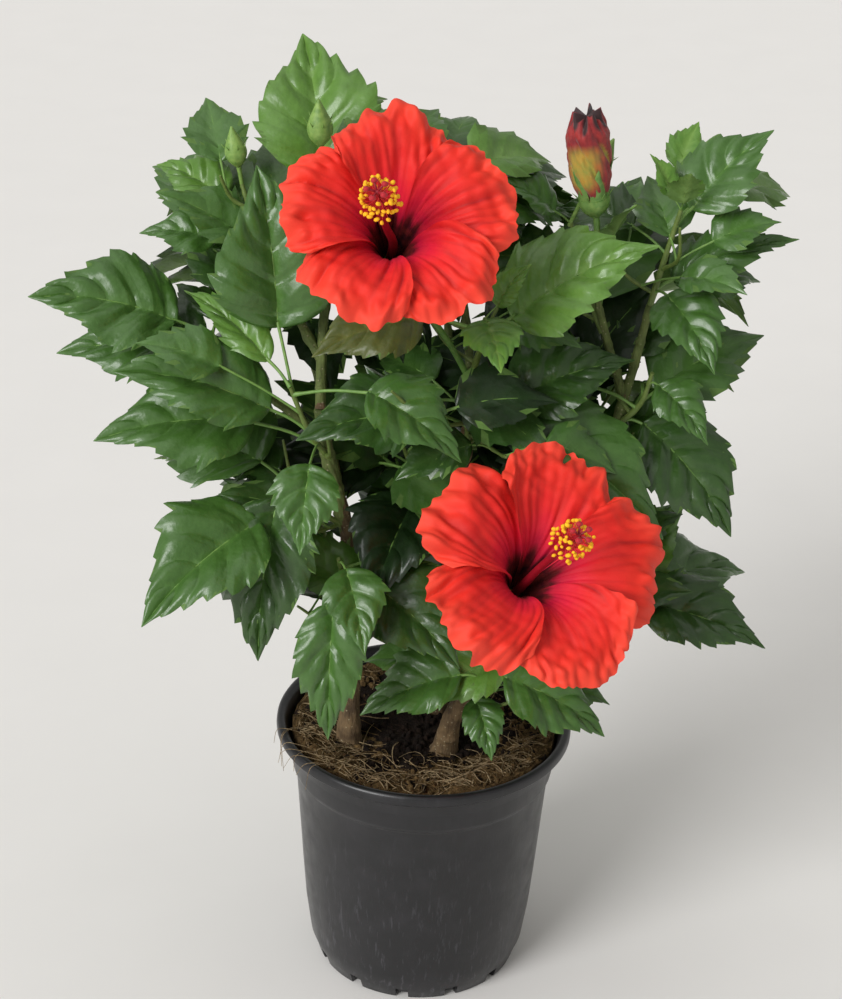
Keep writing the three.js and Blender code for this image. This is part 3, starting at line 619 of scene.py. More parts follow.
def limbRadius(thick, thin, flare, length, phase, rough):
    # Taper and flare, plus swollen rings where leaves once stood, low upright ridges and, on one
    # side of each ring, the lump of a leaf scar.
    def radius(t, turn):
        mm = t * length
        base = thick + (thin - thick) * t + flare * np.exp(-22 * t)
        place = mm / bark["nodeEvery"] + 0.23 * np.sin(0.11 * mm + phase)
        ring = np.exp(-((place % 1 - 0.5) * bark["nodeEvery"] / 1.5) ** 2)
        side = 2.4 * np.floor(place) + phase
        scar = np.exp(-((place % 1 - 0.5) * bark["nodeEvery"] / 1.3) ** 2
                      - ((np.cos(turn - side) - 1) * 3.2) ** 2)
        ridges = np.sin(7 * turn + 0.35 * mm + 2 * np.sin(0.13 * mm)) + 0.6 * np.sin(11 * turn - 0.21 * mm)
        lumps = np.sin(2 * turn + 0.09 * mm + phase) * np.sin(0.17 * mm)
        return base + bark["nodeProud"] * (0.5 * ring + scar) + bark["ridge"] * rough * ridges + 0.18 * lumps
    return radius


def limbPieces():
    brown = shrubBark("woodyBark", "#4a3a28", "#80694a", 0.35)
    olive = shrubBark("greenBark", "#4c5a2c", "#6d7a42", 0.12)
    for k, (name, (path, thick, thin)) in enumerate({**stems, **boughs}.items()):
        length = pathLength(path)
        steps = int(length / 0.9)
        trunk = name.startswith("stem")
        radius = limbRadius(thick, thin, bark["flare"] if trunk else 0, length, 1.7 * k, 1 if trunk else 0.4)
        grid = tubeGrid(path, radius, bark["sides"], steps)
        if trunk:
            foot = grid[0, 0, 2] - bark["sunk"]  # the foot stands a little way in the soil
            near = smooth(0.06, 0, np.linspace(0, 1, steps + 1))[:, None]
            grid[1:-1, :, 2] -= near * bark["sunk"]
            grid[0, :, 2] = foot
        heap = newHeap()
        addGrid(heap, grid, wrap=True, flip=True)
        woody = bark["woody"].get(name, 0)
        rows = len(grid) - 1
        ragged = 0.05 * np.sin(np.linspace(0, 6.28, bark["sides"]))[None, :]
        turnGreen = np.linspace(0, 1, rows)[:, None] + ragged
        heap["slots"][-1] = (turnGreen > woody).reshape(-1).astype(int)
        fillPiece(name.replace("_", "") + "Bark", heap, [brown, olive],
                  [name], sharp=80)


limbPieces()


# Leaves. The table and the rule are the source's: a shoot is its twig, the leaves told as (mm along
# the twig, heading, stalk, rise, blade, share of the usual width, tone; the last two are 1 and
# "mid" where they aren't said), how many more the rule
# tries, from which heading, the middle and half sizes of the space that they keep to, how many
# young leaves stand at its tip, and its bud. The tones and the rows under finer are added here.

goldenTurn = 137.5  # degrees from one leaf or anther to the next
# Fold, droop and lean are in degrees, thick is in mm, veins and teeth are numbers on each side, and
# the others are shares of the blade's length.
leafShape = {
    "width": 0.68, "fold": 15, "droop": 34, "lean": 32, "thick": 0.55, "veins": 5, "sweep": 1.1, "teeth": 8,
    "toothOut": 0.075, "toothForward": 0.02, "pucker": 0.028, "groove": 0.006, "ripple": 0.04,
}
nudges = (0, 8, -8, 16, -16)  # degrees that a leaf may be turned and lifted to find its room
# In mm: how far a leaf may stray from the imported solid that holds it, how clear each added leaf
# stays of the next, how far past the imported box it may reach, how low it may hang, and the
# thickness of the twigs.
keeping = {"stray": 1.3, "clear": 1.5, "past": 3, "lowest": 128, "twig": 1.5, "sideTwig": 0.95}
# For each kind of draw, the first shoot's seed and the step from one shoot to the next.
seeds = {"packed": (4100, 37), "character": (900, 13), "finer": (7700, 61)}
# The crown's middle and half sizes in mm: leaves are given darker tones the nearer they are to the middle, as
# painted shade.
crown = {"middle": (10, 15, 290), "reach": (120, 90, 110)}
shoots = [
    {"name": "foliage_left", "twig": [(-80, -20, 308), (-92, -17, 318), (-100, -13, 327)],
     "told": [(30, 185, 15, 10, 65), (5, 175, 25, -5, 60)],
     "more": 10, "from": 100, "middle": (-112, 16, 330), "reach": (66, 54, 46)},
    {"name": "foliage_left_front", "twig": [(-45, -26, 276), (-54, -36, 294), (-62, -43, 318)],
     "told": [(45, 115, 30, 60, 70, 1.25, "mid"), (25, 185, 20, 15, 70),
              (15, 190, 30, -5, 70), (45, 340, 35, -30, 50),
              (15, 265, 25, -50, 40), (50, 140, 15, 35, 55, 0.5, "bright")],
     "more": 12, "from": 210, "middle": (-72, -24, 316), "reach": (76, 40, 56)},
    {"name": "foliage_upper_left", "twig": [(-71, -6, 353), (-80, -2, 374), (-86, 2, 392)],
     "told": [(20, 145, 20, 10, 40, 1, "bright"), (5, 175, 25, 0, 35)],
     "more": 8, "from": 60, "middle": (-92, 26, 380), "reach": (60, 56, 42),
     "bud": {"heading": 200, "rise": 80, "stalk": 8, "size": 18}},
    {"name": "foliage_top", "twig": [(-46, -3, 366), (-49, -2, 388), (-52, -2, 405)],
     "told": [(20, 105, 10, 45, 70, 1.15, "bright")],
     "finer": [(0, 10, 15, -45, 60, 1, "deep"), (0, 320, 15, -50, 50, 1, "deep"),
               (0, 80, 15, -30, 60, 1, "deep")],
     "more": 13, "from": 20, "middle": (-48, 30, 402), "reach": (52, 56, 46),
     "bud": {"heading": 250, "rise": 82, "stalk": 7, "size": 21}},
    {"name": "foliage_lower_left", "twig": [(-37, -22, 240), (-54, -30, 256), (-64, -37, 268)],
     "told": [(40, 240, 10, -75, 75, 0.85, "dark"), (10, 205, 40, -35, 70),
              (15, 140, 30, -15, 35, 1, "dark")],
     "more": 13, "from": 160, "middle": (-84, 0, 240), "reach": (64, 44, 52)},
    {"name": "foliage_bottom_left", "twig": [(-35, -18, 198), (-38, -36, 222), (-40, -50, 240)],
     "told": [(40, 265, 25, -80, 65, 0.65, "mid"), (30, 330, 10, -30, 60, 1, "dark"),
              (50, 290, 10, -60, 40)],
     "more": 11, "from": 100, "middle": (-30, -30, 205), "reach": (56, 40, 60)},
    {"name": "foliage_centre_top", "twig": [(16, -12, 316), (19, -30, 338), (19, -42, 352)],
     "told": [(25, 0, 15, 30, 70, 1, "bright"), (45, 280, 5, -15, 35, 1, "young"),
              (30, 200, 30, -15, 50, 1, "olive")],
     "more": 12, "from": 90, "middle": (24, -14, 350), "reach": (70, 44, 38), "young": 2},
    {"name": "foliage_centre", "twig": [(15, -8, 272), (14, -26, 292), (14, -38, 306)],
     "told": [(30, 350, 20, -35, 85), (30, 200, 20, -5, 60, 1, "dark")],
     "finer": [(0, 165, 25, 35, 70, 1, "deep"), (5, 150, 20, 10, 70, 1, "deep")],
     "more": 16, "from": 190, "middle": (24, -6, 290), "reach": (88, 52, 54)},
    {"name": "foliage_back_top", "twig": [(8, 10, 356), (5, 15, 376), (2, 16, 393)],
     "told": [(25, 30, 10, -20, 60)],
     "more": 14, "from": 130, "middle": (4, 40, 374), "reach": (68, 60, 36)},
    {"name": "foliage_upper_right", "twig": [(92, 4, 342), (98, 6, 368), (102, 5, 386)],
     "told": [(35, 25, 10, 40, 50), (20, 150, 20, -10, 40, 1, "dark"),
              (5, 15, 10, 15, 60, 0.5, "mid"), (5, 30, 10, -10, 50),
              (5, 300, 10, -30, 45)],
     "more": 6, "from": 90, "middle": (112, 24, 374), "reach": (58, 54, 52), "young": 2},
    {"name": "foliage_right", "twig": [(80, -1, 285), (90, -8, 300), (94, -10, 316)],
     "told": [(5, 335, 10, -45, 65, 1, "dark"), (30, 320, 5, -35, 35),
              (15, 165, 20, -10, 75, 1, "deep")],
     "more": 13, "from": 280, "middle": (104, 14, 288), "reach": (58, 50, 60)},
    {"name": "foliage_top_right", "twig": [(72, 4, 328), (62, 14, 352), (56, 18, 374)],
     "told": [(50, 190, 10, 30, 30)],
     "finer": [(0, 0, 10, 20, 55, 1, "deep"), (10, 350, 15, -10, 60, 1, "deep")],
     "more": 13, "from": 70, "middle": (54, 40, 356), "reach": (64, 60, 46),
     "bud": {"heading": 10, "rise": 66, "stalk": 24, "size": 17}},
    {"name": "foliage_right_low", "twig": [(38, -28, 188), (62, -20, 197), (80, -14, 203)],
     "told": [(25, 350, 35, -15, 60, 1, "dark"), (45, 15, 15, 0, 40)],
     "more": 14, "from": 60, "middle": (92, 14, 208), "reach": (66, 52, 48)},
    {"name": "foliage_bottom", "twig": [(17, -26, 156), (22, -40, 170), (25, -48, 180)],
     "told": [(35, 185, 10, -25, 50), (10, 300, 5, -55, 30),
              (35, 355, 10, -30, 55)],
     "more": 10, "from": 260, "middle": (24, -30, 168), "reach": (66, 36, 36)},
    {"name": "foliage_inner_left", "twig": [(10, 2, 228), (-6, 2, 252), (-14, 0, 272)],
     "told": [(30, 180, 15, -10, 65, 1, "deep"), (20, 250, 15, -30, 60, 1, "deep")],
     "finer": [(50, 150, 30, 45, 60, 1, "deep"), (45, 20, 20, 40, 60, 1, "deep")],
     "more": 12, "from": 60, "middle": (-10, 16, 270), "reach": (90, 60, 68)},
    {"name": "foliage_inner_right", "twig": [(70, -7, 258), (62, 6, 278), (56, 14, 294)],
     "told": [(15, 240, 15, -20, 55, 1, "deep")],
     "finer": [(40, 20, 15, 60, 55, 1, "deep"), (20, 350, 20, 60, 60, 1, "deep")],
     "more": 20, "from": 20, "middle": (54, 26, 292), "reach": (80, 62, 64)},
    {"name": "foliage_back_left", "twig": [(-60, 34, 318), (-65, 50, 342), (-67, 58, 362)],
     "finer": [(5, 330, 15, -15, 65, 1, "deep"), (0, 285, 10, -20, 50, 1, "deep")],
     "more": 13, "from": 120, "middle": (-66, 62, 324), "reach": (80, 68, 66), "young": 3},
    {"name": "foliage_back", "twig": [(2, 50, 328), (-2, 64, 350), (-4, 70, 370)],
     "finer": [(5, 200, 15, -30, 65, 1, "deep"), (10, 230, 20, -20, 60, 1, "deep")],
     "more": 12, "from": 40, "middle": (0, 76, 332), "reach": (78, 68, 64), "young": 3},
    {"name": "foliage_back_right", "twig": [(64, 44, 298), (68, 56, 322), (70, 62, 344)],
     "more": 18, "from": 10, "middle": (76, 62, 316), "reach": (80, 68, 66), "young": 3},
    {"name": "foliage_back_low", "twig": [(9, 6, 190), (15, 32, 212), (20, 48, 232)],
     "more": 14, "from": 60, "middle": (30, 56, 224), "reach": (78, 68, 60)},
    {"name": "foliage_low_left", "twig": [(-35, -16, 186), (-46, 12, 206), (-54, 28, 224)],
     "more": 14, "from": 150, "middle": (-62, 44, 226), "reach": (78, 66, 60)},
]


# The open blooms, which the leaves keep clear of.

# Turn, climb and spin say how a bloom looks out; lean turns its column from its petals; reach is
# the petals' length and cup is how high their curve rises.
blooms = {
    "bloom_upper": {"throat": (-20, -50, 387), "turn": 6, "climb": 44, "spin": 92, "lean": -16, "reach": 49,
                    "cup": 27, "stalk": [(16, -12, 308), (0, -20, 338)], "seed": 3},
    "bloom_lower": {"throat": (41, -85, 252), "turn": 27, "climb": 48, "spin": 60, "lean": 6, "reach": 56,
                    "cup": 21, "stalk": [(44, -26, 198), (40, -46, 212)], "seed": 8},
}


def leafBlade(name, blade, vein, roughness, coat):
    # A broad evergreen blade: a smooth waxy skin over deep green, with paler sunk veins.
    material, tree, shader = newMaterial(name, {
        "Coat Weight": coat, "Coat Roughness": 0.24, "Specular IOR Level": 0.35})
    mottle = patchOn(tree, 7, 4, 0.6)
    lit = mixColours(tree, mottle, blade[0], blade[1])
    paint(tree, shader, mixColours(tree, attributeOf(tree, "vein"), lit, vein))
    tree.links.new(spreadTo(tree, noiseOn(tree, 3, 2), roughness - 0.05, roughness + 0.07),
                   shader.inputs["Roughness"])
    bumpFrom(tree, shader, noiseOn(tree, 3.4, 3, 0.5), 0.45)
    return material


# The lightest blade tone is painted light on leaves out in the light. The darkest is painted shade inside the
# crown, and the next darkest is partly the leaves' own deeper green and partly painted shade. The young, mid,
# olive and underside tones are the leaves' own colours.
leafMaterials = {
    "young": leafBlade("youngLeafBlade", ("#4c7828", "#608834"), "#749844", 0.45, 0.2),
    "bright": leafBlade("paintedLightLeafBlade", ("#4e7428", "#5c8434"), "#709448", 0.4, 0.4),
    "mid": leafBlade("leafBlade", ("#385c20", "#44682c"), "#507634", 0.38, 0.4),
    "dark": leafBlade("darkLeafBlade", ("#284618", "#345220"), "#406028", 0.36, 0.4),
    "deep": leafBlade("shadeLeafBlade", ("#14260e", "#1c3214"), "#263e1c", 0.4, 0.25),
    "olive": leafBlade("oliveLeafBlade", ("#444e20", "#545c28"), "#646a30", 0.45, 0.15),
    "under": leafBlade("leafUnderside", ("#4c6a2e", "#5a7a38"), "#6e8c48", 0.6, 0.0),
}


def leafOn(twig, along, heading, stalk, rise, blade, broad=1, tone="mid"):
    root = onPath(twig["path"], min(along / twig["length"], 1))
    base = root + stalk * toward(heading, 25 + 0.4 * rise)
    roll = leafShape["lean"] * math.sin(math.radians(heading - twig["faces"]))
    return {"root": root, "base": base, "heading": heading, "rise": rise, "blade": blade, "broad": broad,
            "roll": roll, "tone": tone, "fine": False}


def ribCurve(leaf, t):
    # The rib's climb falls evenly from rise + droop / 2 to rise - droop / 2, so its place is the
    # integral of (cos, sin) of that climb: a difference of sines and of cosines over the bend.
    bend = math.radians(leafShape["droop"])
    start = math.radians(leaf["rise"]) + bend / 2
    level = (math.sin(start) - np.sin(start - bend * t)) / bend
    high = (np.cos(start - bend * t) - math.cos(start)) / bend
    h = math.radians(leaf["heading"])
    return leaf["base"] + leaf["blade"] * np.stack([level * math.cos(h), level * math.sin(h), high], -1)


def bladeAxes(leaf, t, twist=0):
    # A blade's side and face directions at t: level and upward, square to the rib, then rolled.
    ahead = toward(leaf["heading"], leaf["rise"] + leafShape["droop"] * (0.5 - t))
    h = math.radians(leaf["heading"])
    level = np.array([-math.sin(h), math.cos(h), 0])
    up = np.cross(ahead, level)
    roll = np.radians(leaf["roll"] + twist)[..., None]
    return level * np.cos(roll) + up * np.sin(roll), up * np.cos(roll) - level * np.sin(roll)


def outlineAt(t):
    # Half width as a share of the widest: round at the base, widest at a third, drawn out at the tip.
    t = np.clip(t, 0, 1)
    return np.sin(np.pi * t ** 0.6).clip(0) ** 0.9 * (1 - 0.38 * smooth(0.45, 0.9, t))


def rimToRib(q):
    # Where on the rib the row starts that ends at q on the rim: the inverse of
    # rho + sweep * rho^0.8 * (1 - rho)^1.25, read off a table of itself.
    rho = np.linspace(0, 1, 241)
    return np.interp(q, rho + leafShape["sweep"] * rho ** 0.8 * (1 - rho) ** 1.25, rho)


def toothOf(q, side, phase):
    # Coarse teeth that lean forward, uneven in size, on the outer half; base and tip are entire.
    number = np.floor(q * leafShape["teeth"])
    saw = (q * leafShape["teeth"]) % 1
    lot = 0.75 + 0.45 * np.sin(9.1 * number * number + 2.3 * side + 4 * phase)
    return saw ** 1.1 * lot * smooth(0.12, 0.35, q) * (1 - smooth(0.8, 0.95, q))


def bladeGrid(leaf, character):
    # Rows follow the side veins: from rho on the rib they sweep forward by sweep * |s|^1.2 *
    # rho^0.8 * (1 - rho)^1.25 to the edge at s = 1 or -1, where they are evenly spaced. Teeth move
    # the edge out and forward. The blade folds on its rib and arches back down towards its edges,
    # sinks along the veins, swells between them, and ripples at its rim.
    shape = leafShape
    marks = (0.03, 0.3, 0.55, 0.8, 0.96) if leaf["fine"] else (0.06, 0.92)
    rows = (np.arange(shape["teeth"])[:, None] + np.array(marks)).ravel() / shape["teeth"]
    q = np.concatenate([[0, 0.008], rows, [1]])[:, None]
    rho = rimToRib(q)
    half = 8 if leaf["fine"] else 3
    s = np.linspace(-1, 1, 2 * half + 1)
    s = (np.sign(s) * np.abs(s) ** 0.92)[None, :]
    t = rho + shape["sweep"] * np.abs(s) ** 1.2 * rho ** 0.8 * (1 - rho) ** 1.25
    teeth = np.abs(s) ** 5 * toothOf(q, np.sign(s), character["phase"])
    t = t + shape["toothForward"] * teeth
    blade = leaf["blade"]
    halfWidth = 0.5 * shape["width"] * leaf["broad"] * blade * outlineAt(t) * character["width"]
    toothed = shape["toothOut"] * blade * teeth * np.sqrt(outlineAt(q) * leaf["broad"])
    out = s * halfWidth + np.sign(s) * toothed
    fold = math.radians(shape["fold"]) * character["fold"]
    high = np.abs(out) * math.sin(fold) * (1.35 - 0.75 * s * s)
    wide = out * math.cos(fold)
    spacing = blade / shape["veins"]
    place = (rho * shape["veins"] - 0.35) % 1
    bulge = np.sin(np.pi * place) ** 1.5 * np.sin(np.pi * np.abs(s) ** 0.8) ** 0.7
    quilt = np.sin(0.9 * out + 2.1 * np.sin(0.5 * t * blade)) * np.sin(0.7 * t * blade + character["phase"])
    swell = shape["pucker"] * blade * character["pucker"] * np.minimum(1, halfWidth / 8)
    high = high + swell * (bulge + 0.25 * quilt)
    fromVein = np.minimum(place, 1 - place) * spacing
    sunk = np.exp(-(fromVein / 0.9) ** 2) * (1 - np.abs(s) ** 3) + 1.3 * np.exp(-(out / 1.1) ** 2)
    high = high - shape["groove"] * blade * sunk * smooth(0, 0.05, rho) * (1 - smooth(0.93, 1, rho))
    high = high + shape["ripple"] * blade * np.abs(s) ** 2.5 * np.sin(
        2 * np.pi * (2.2 * t) + character["phase"] + 1.9 * np.sign(s)) * smooth(0.05, 0.3, t) * (1 - t ** 3)
    side, face = bladeAxes(leaf, t, character["twist"] * (t - 0.3))
    grid = ribCurve(leaf, t) + side * wide[..., None] + face * high[..., None]
    vein = np.maximum(np.exp(-(fromVein / 0.4) ** 2) * (1 - 0.85 * np.abs(s)) * 0.6,
                      0.85 * np.exp(-(out / 0.6) ** 2)) * np.ones_like(t)
    return grid, vein


def characterOf(draw):
    # How one blade differs from the next. Six even draws, whether it is kept or not.
    return {"phase": draw(0, 6.28), "width": draw(0.92, 1.08), "fold": draw(0.5, 1.5),
            "pucker": draw(0.6, 1.3), "twist": draw(-22, 22), "tone": draw(0, 1)}


def coarseTree(leaf):
    # The blade as a few triangles, to test what it crosses.
    t = np.linspace(0.02, 1, 8)[:, None]
    s = np.array([-1, 0, 1])
    halfWidth = 0.5 * leafShape["width"] * leaf["broad"] * leaf["blade"] * outlineAt(t)
    fold = math.radians(leafShape["fold"])
    side, face = bladeAxes(leaf, t)
    grid = ribCurve(leaf, t) + side * (s * halfWidth * math.cos(fold))[..., None]
    grid = grid + face * (np.abs(s) * halfWidth * math.sin(fold))[..., None]
    index = np.arange(24).reshape(8, 3)
    quads = np.stack([index[:-1, :-1], index[1:, :-1], index[1:, 1:], index[:-1, 1:]], -1).reshape(-1, 4)
    return BVHTree.FromPolygons(grid.reshape(-1, 3).tolist(), quads.tolist()), grid.reshape(-1, 3)


def solidTree(node):
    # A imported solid's faces in mm, to test what crosses them.
    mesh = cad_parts[node].data
    points = np.empty(len(mesh.vertices) * 3, np.float32)
    mesh.vertices.foreach_get("co", points)
    faces = [tuple(p.vertices) for p in mesh.polygons]
    return BVHTree.FromPolygons((points.reshape(-1, 3) / metres).tolist(), faces)


def offSolid(tree, leaf):
    # How far in mm the leaf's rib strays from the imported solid's skin, at most.
    spots = ribCurve(leaf, np.array([0.3, 0.6, 0.9]))
    return max(tree.find_nearest(Vector(spot))[3] for spot in spots)


def inSpace(leaf, shoot):
    # Whether the rib's middle and tip lie in the ellipsoid of the shoot's space.
    ends = ribCurve(leaf, np.array([0.5, 1.0]))
    return bool((((ends - shoot["middle"]) / shoot["reach"]) ** 2).sum(axis=1).max() < 1)


def ruledLeaves(twig, count, start, draw, stalks=(10, 34), blades=(54, 78)):
    # Leaves as the rule grows them: a golden turn from one to the next, spread up the twig.
    return [(twig["length"] * (0.1 + 0.86 * ((0.382 * k) % 1)), start + goldenTurn * k + draw(-18, 18),
             draw(*stalks), draw(-34, 30), draw(*blades)) for k in range(count)]


def tipLeaves(twig, count, draw):
    first = draw(0, 360)
    return [(twig["length"], first + 125 * k, draw(4, 8), draw(38, 62), draw(20, 32), 1, "young")
            for k in range(count)]


def turnedAside(twig, row):
    # The leaf as the row has it, and then turned aside by more and more.
    asides = sorted(((turn, lift) for turn in nudges for lift in nudges),
                    key=lambda by: abs(by[0]) + abs(by[1]))
    along, heading, stalk, rise, *size = row
    return [leafOn(twig, along, heading + turn, stalk, rise + lift, *size) for turn, lift in asides]


# Finer twigs: how many, their spacing as a share of the shoot's twig, and the ranges of their climb
# and length. In the shade of the crown's middle they are level and long.
sideGrowth = {"lit": (4, 0.2, (5, 50), (20, 36)), "shaded": (6, 0.13, (-15, 30), (28, 52))}


def sideTwigs(shoot, twig, draw):
    # Finer twigs that branch from the shoot's twig by the golden turn.
    made = []
    shaded = "inner" in shoot["name"] or "centre" in shoot["name"]
    count, apart, climbs, lengths = sideGrowth["shaded" if shaded else "lit"]
    for k in range(count):
        root = onPath(twig["path"], 0.1 + apart * k)
        head, climb = shoot["from"] + 70 + goldenTurn * k, draw(*climbs)
        length = draw(*lengths)
        middle = root + 0.5 * length * toward(head, climb)
        tip = root + length * toward(head + draw(-20, 20), climb + 12)
        path = np.array([root, middle - (0, 0, 1.5), tip])
        made.append({"path": path, "length": pathLength(path), "faces": twig["faces"],
                     "thick": keeping["sideTwig"]})
    return made


grown = []  # every kept leaf with its tree and the shoot's number
twigs = []  # every twig that is made
lowest = np.array(packedBox[0]) / metres - keeping["past"]
highest = np.array(packedBox[1]) / metres + keeping["past"]


def free(leaf, obstacles):
    # The leaf's tree and box where it touches nothing, and None where it does.
    tree, points = coarseTree(leaf)
    if (points < lowest).any() or (points > highest).any() or points[:, 2].min() < keeping["lowest"]:
        return None
    if any(tree.overlap(other) for other in obstacles):
        return None
    clear = keeping["clear"]
    low, high = points.min(axis=0) - clear, points.max(axis=0) + clear
    for other in grown:
        if (low < other["high"]).all() and (other["low"] < high).all():
            near = (other["tree"].find_nearest(Vector(point), clear)[0] for point in points)
            if tree.overlap(other["tree"]) or any(spot is not None for spot in near):
                return None
    return {"tree": tree, "low": low, "high": high}


def growPacked(k, shoot, twig, character):
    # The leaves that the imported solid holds, each turned aside as it is there.
    draw = shootDraw("packed", k)
    ruled = ruledLeaves(twig, shoot["more"], shoot["from"], draw)
    ruled += tipLeaves(twig, shoot.get("young", 0), draw)
    solid = solidTree(shoot["name"])
    tellings = shoot.get("told", [])
    for number, row in enumerate(tellings + ruled):
        told = number < len(tellings)
        own = characterOf(character)
        fits = [leaf for leaf in turnedAside(twig, row) if told or inSpace(leaf, shoot)]
        leaf = min(fits, key=lambda one: offSolid(solid, one), default=None)
        if leaf is None or offSolid(solid, leaf) > keeping["stray"]:
            if told:
                print("not in", shoot["name"], "told leaf", number)
            continue
        leaf["character"] = own
        leaf["fine"] = told or leaf["base"][1] < 0
        if not told and leaf["tone"] == "mid":
            leaf["tone"] = toneOf(own["tone"], leaf)
        tree, points = coarseTree(leaf)
        grown.append({"leaf": leaf, "tree": tree, "low": points.min(axis=0), "high": points.max(axis=0),
                      "shoot": k})


def growLeaves():
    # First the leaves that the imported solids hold, then the finer twigs and the leaves between.
    obstacles = [solidTree(name) for name in ("pot", *stems, *boughs, *blooms, "bloom_faded")]
    characters = []
    for k, shoot in enumerate(shoots):
        path = np.array(shoot["twig"], float)
        faces = 90 if shoot["middle"][1] > 40 else -90
        twigs.append({"path": path, "length": pathLength(path), "faces": faces, "thick": keeping["twig"]})
        characters.append(shootDraw("character", k))
        growPacked(k, shoot, twigs[k], characters[k])
    packed = len(grown)
    for k, shoot in enumerate(shoots):
        draw = shootDraw("finer", k)
        more = ruledLeaves(twigs[k], 26, shoot["from"] + 65, draw, (8, 44), (36, 70))
        for twig in sideTwigs(shoot, twigs[k], draw):
            rows = ruledLeaves(twig, 8, draw(0, 360), draw, (7, 24), (30, 56))
            rows += tipLeaves(twig, shoot.get("young", 0), draw)
            if growFrom(twig, rows, shoot, k, obstacles, characters[k]):
                twigs.append(twig)
        growFrom(twigs[k], shoot.get("finer", []), shoot, k, obstacles, characters[k], True)
        growFrom(twigs[k], more, shoot, k, obstacles, characters[k])
    print("leaves:", packed, "as packed,", len(grown) - packed, "finer")


def toneOf(share, leaf):
    # Leaves deeper in the crown get darker tones as painted shade, and those far out the lightest tone as
    # painted light; share spreads them at random.
    inside = np.linalg.norm((leaf["base"] - crown["middle"]) / crown["reach"])
    value = 0.6 * share + 0.7 * inside
    return "deep" if value < 0.55 else "dark" if value < 0.8 else "mid" if value < 1.25 else "bright"


def growFrom(twig, rows, shoot, k, obstacles, character, told=False):
    # A told row, and any row inside the crown or at its back, takes the first way aside that is
    # free. Elsewhere a leaf stays only as its row has it.
    hidden = any(word in shoot["name"] for word in ("inner", "centre", "back"))
    kept = 0
    for row in rows:
        own = characterOf(character)
        for turned, leaf in enumerate(turnedAside(twig, row)):
            if turned and not (told or hidden and leaf["base"][1] > -5):
                break
            found = (told or inSpace(leaf, shoot)) and free(leaf, obstacles)
            if found:
                leaf["character"] = own
                if leaf["tone"] == "mid":
                    leaf["tone"] = toneOf(own["tone"], leaf)
                grown.append({"leaf": leaf, "shoot": k, **found})
                kept += 1
                break
    return kept


growLeaves()


def leafPieces():
    order = {tone: k for k, tone in enumerate(leafMaterials)}
    for k, shoot in enumerate(shoots):
        heap = newHeap()
        for one in grown:
            if one["shoot"] == k:
                leaf = one["leaf"]
                grid, vein = bladeGrid(leaf, leaf["character"])
                sides = (order[leaf["tone"]], order["under"])
                addSheet(heap, grid, leafShape["thick"], sides, {"vein": vein})
        name = "leaves" + "".join(word.title() for word in shoot["name"].split("_")[1:])
        fillPiece(name, heap, leafMaterials.values(), [shoot["name"]], sharp=60)


leafPieces()


# Green twigs, leaf stalks and stipules.

def greenSkin(name, low, high):
    # The skin of a young shoot: smooth, faintly streaked along its length.
    return twoTone(name, low, high, 2.5, {"Roughness": 0.5}, (0.8, 0.06))


def stalkPiece():
    # A stalk leaves its twig with a swollen foot, bends a little, and runs under its blade's base.
    heap = newHeap()
    for twig in twigs:
        steps = max(6, int(twig["length"] / 2.5))
        thick = twig["thick"]
        addTube(heap, twig["path"], lambda t, turn: thick * (1 - 0.4 * t) + 0.22 * np.sin(
            np.pi * ((t * 4) % 1)) ** 8, 9, steps)
    for one in grown:
        leaf = one["leaf"]
        size = min(1, leaf["blade"] / 50)
        middle = 0.5 * (leaf["root"] + leaf["base"]) + (0, 0, 1.2 * size)
        path = np.array([leaf["root"], middle, ribCurve(leaf, np.array(0.03))])
        addTube(heap, path, lambda t, turn: size * (
            0.72 + 0.5 * np.exp(-14 * t) + 0.15 * np.exp(-12 * (1 - t))), 7, 7, 1)
        # The rib stands out under the blade and thins to its tip.
        t = np.linspace(0.02, 0.9, 6)
        rib = ribCurve(leaf, t) - bladeAxes(leaf, t)[1] * (0.55 * size)
        addTube(heap, rib, lambda t, turn: size * (0.62 - 0.45 * t), 5, 8, 1)
    fillPiece("greenStalks", heap, [greenSkin("shootSkin", "#566b2e", "#6d7f3d"),
                                    greenSkin("stalkSkin", "#5c8238", "#739649")], sharp=80)


stalkPiece()


# Open blooms.

# Measures in mm, the rows and columns of points in a petal, and the number of anthers.
flower = {"throatDepth": 20, "column": 50, "petalThick": 0.5, "rows": 90, "columns": 73, "anthers": 64}


def petalFlesh():
    # A hibiscus petal: soft matt flesh, scarlet at the rim, crimson inwards, nearly black in the
    # throat, and darker in the troughs of its fan of wrinkles: partly its veins, partly painted shade.
    material, tree, shader = newMaterial("petalFlesh", {
        "Roughness": 0.62, "Sheen Weight": 0.06, "Sheen Roughness": 0.4, "Sheen Tint": "#ff7058",
        "Specular IOR Level": 0.25})
    share = attributeOf(tree, "share")
    ramp = addNode(tree, "ShaderNodeValToRGB", {"stops": [
        (0.0, "#12030a"), (0.11, "#1c040c"), (0.18, "#4a0818"), (0.24, "#b80f38"), (0.34, "#d41636"),
        (0.5, "#dc1f22"), (0.8, "#e22b1e"), (1.0, "#ec4834")]}, {"Fac": share})
    crease = attributeOf(tree, "crease")
    # crease darkens the wrinkles' troughs: partly vein colour, partly painted shade.
    lined = mixColours(tree, crease, ramp.outputs["Color"], "#840a16")
    mottle = spreadTo(tree, noiseOn(tree, 5, 3), 0, 0.12)
    paint(tree, shader, mixColours(tree, mottle, lined, "#f05440"))
    bumpFrom(tree, shader, noiseOn(tree, 0.9, 3), 0.08)
    return material


def uneven(x, y, size, seed):
    # Random hills about size mm across, between -1 and 1: seven waves of random way, length and phase.
    draw = np.random.default_rng(seed)
    total = 0
    for _ in range(7):
        way, phase, more = draw.uniform(0, 6.28), draw.uniform(0, 6.28), draw.uniform(0.6, 1.3)
        total = total + np.sin(6.28 * more * (x * math.cos(way) + y * math.sin(way)) / size + phase)
    return total / 3.5


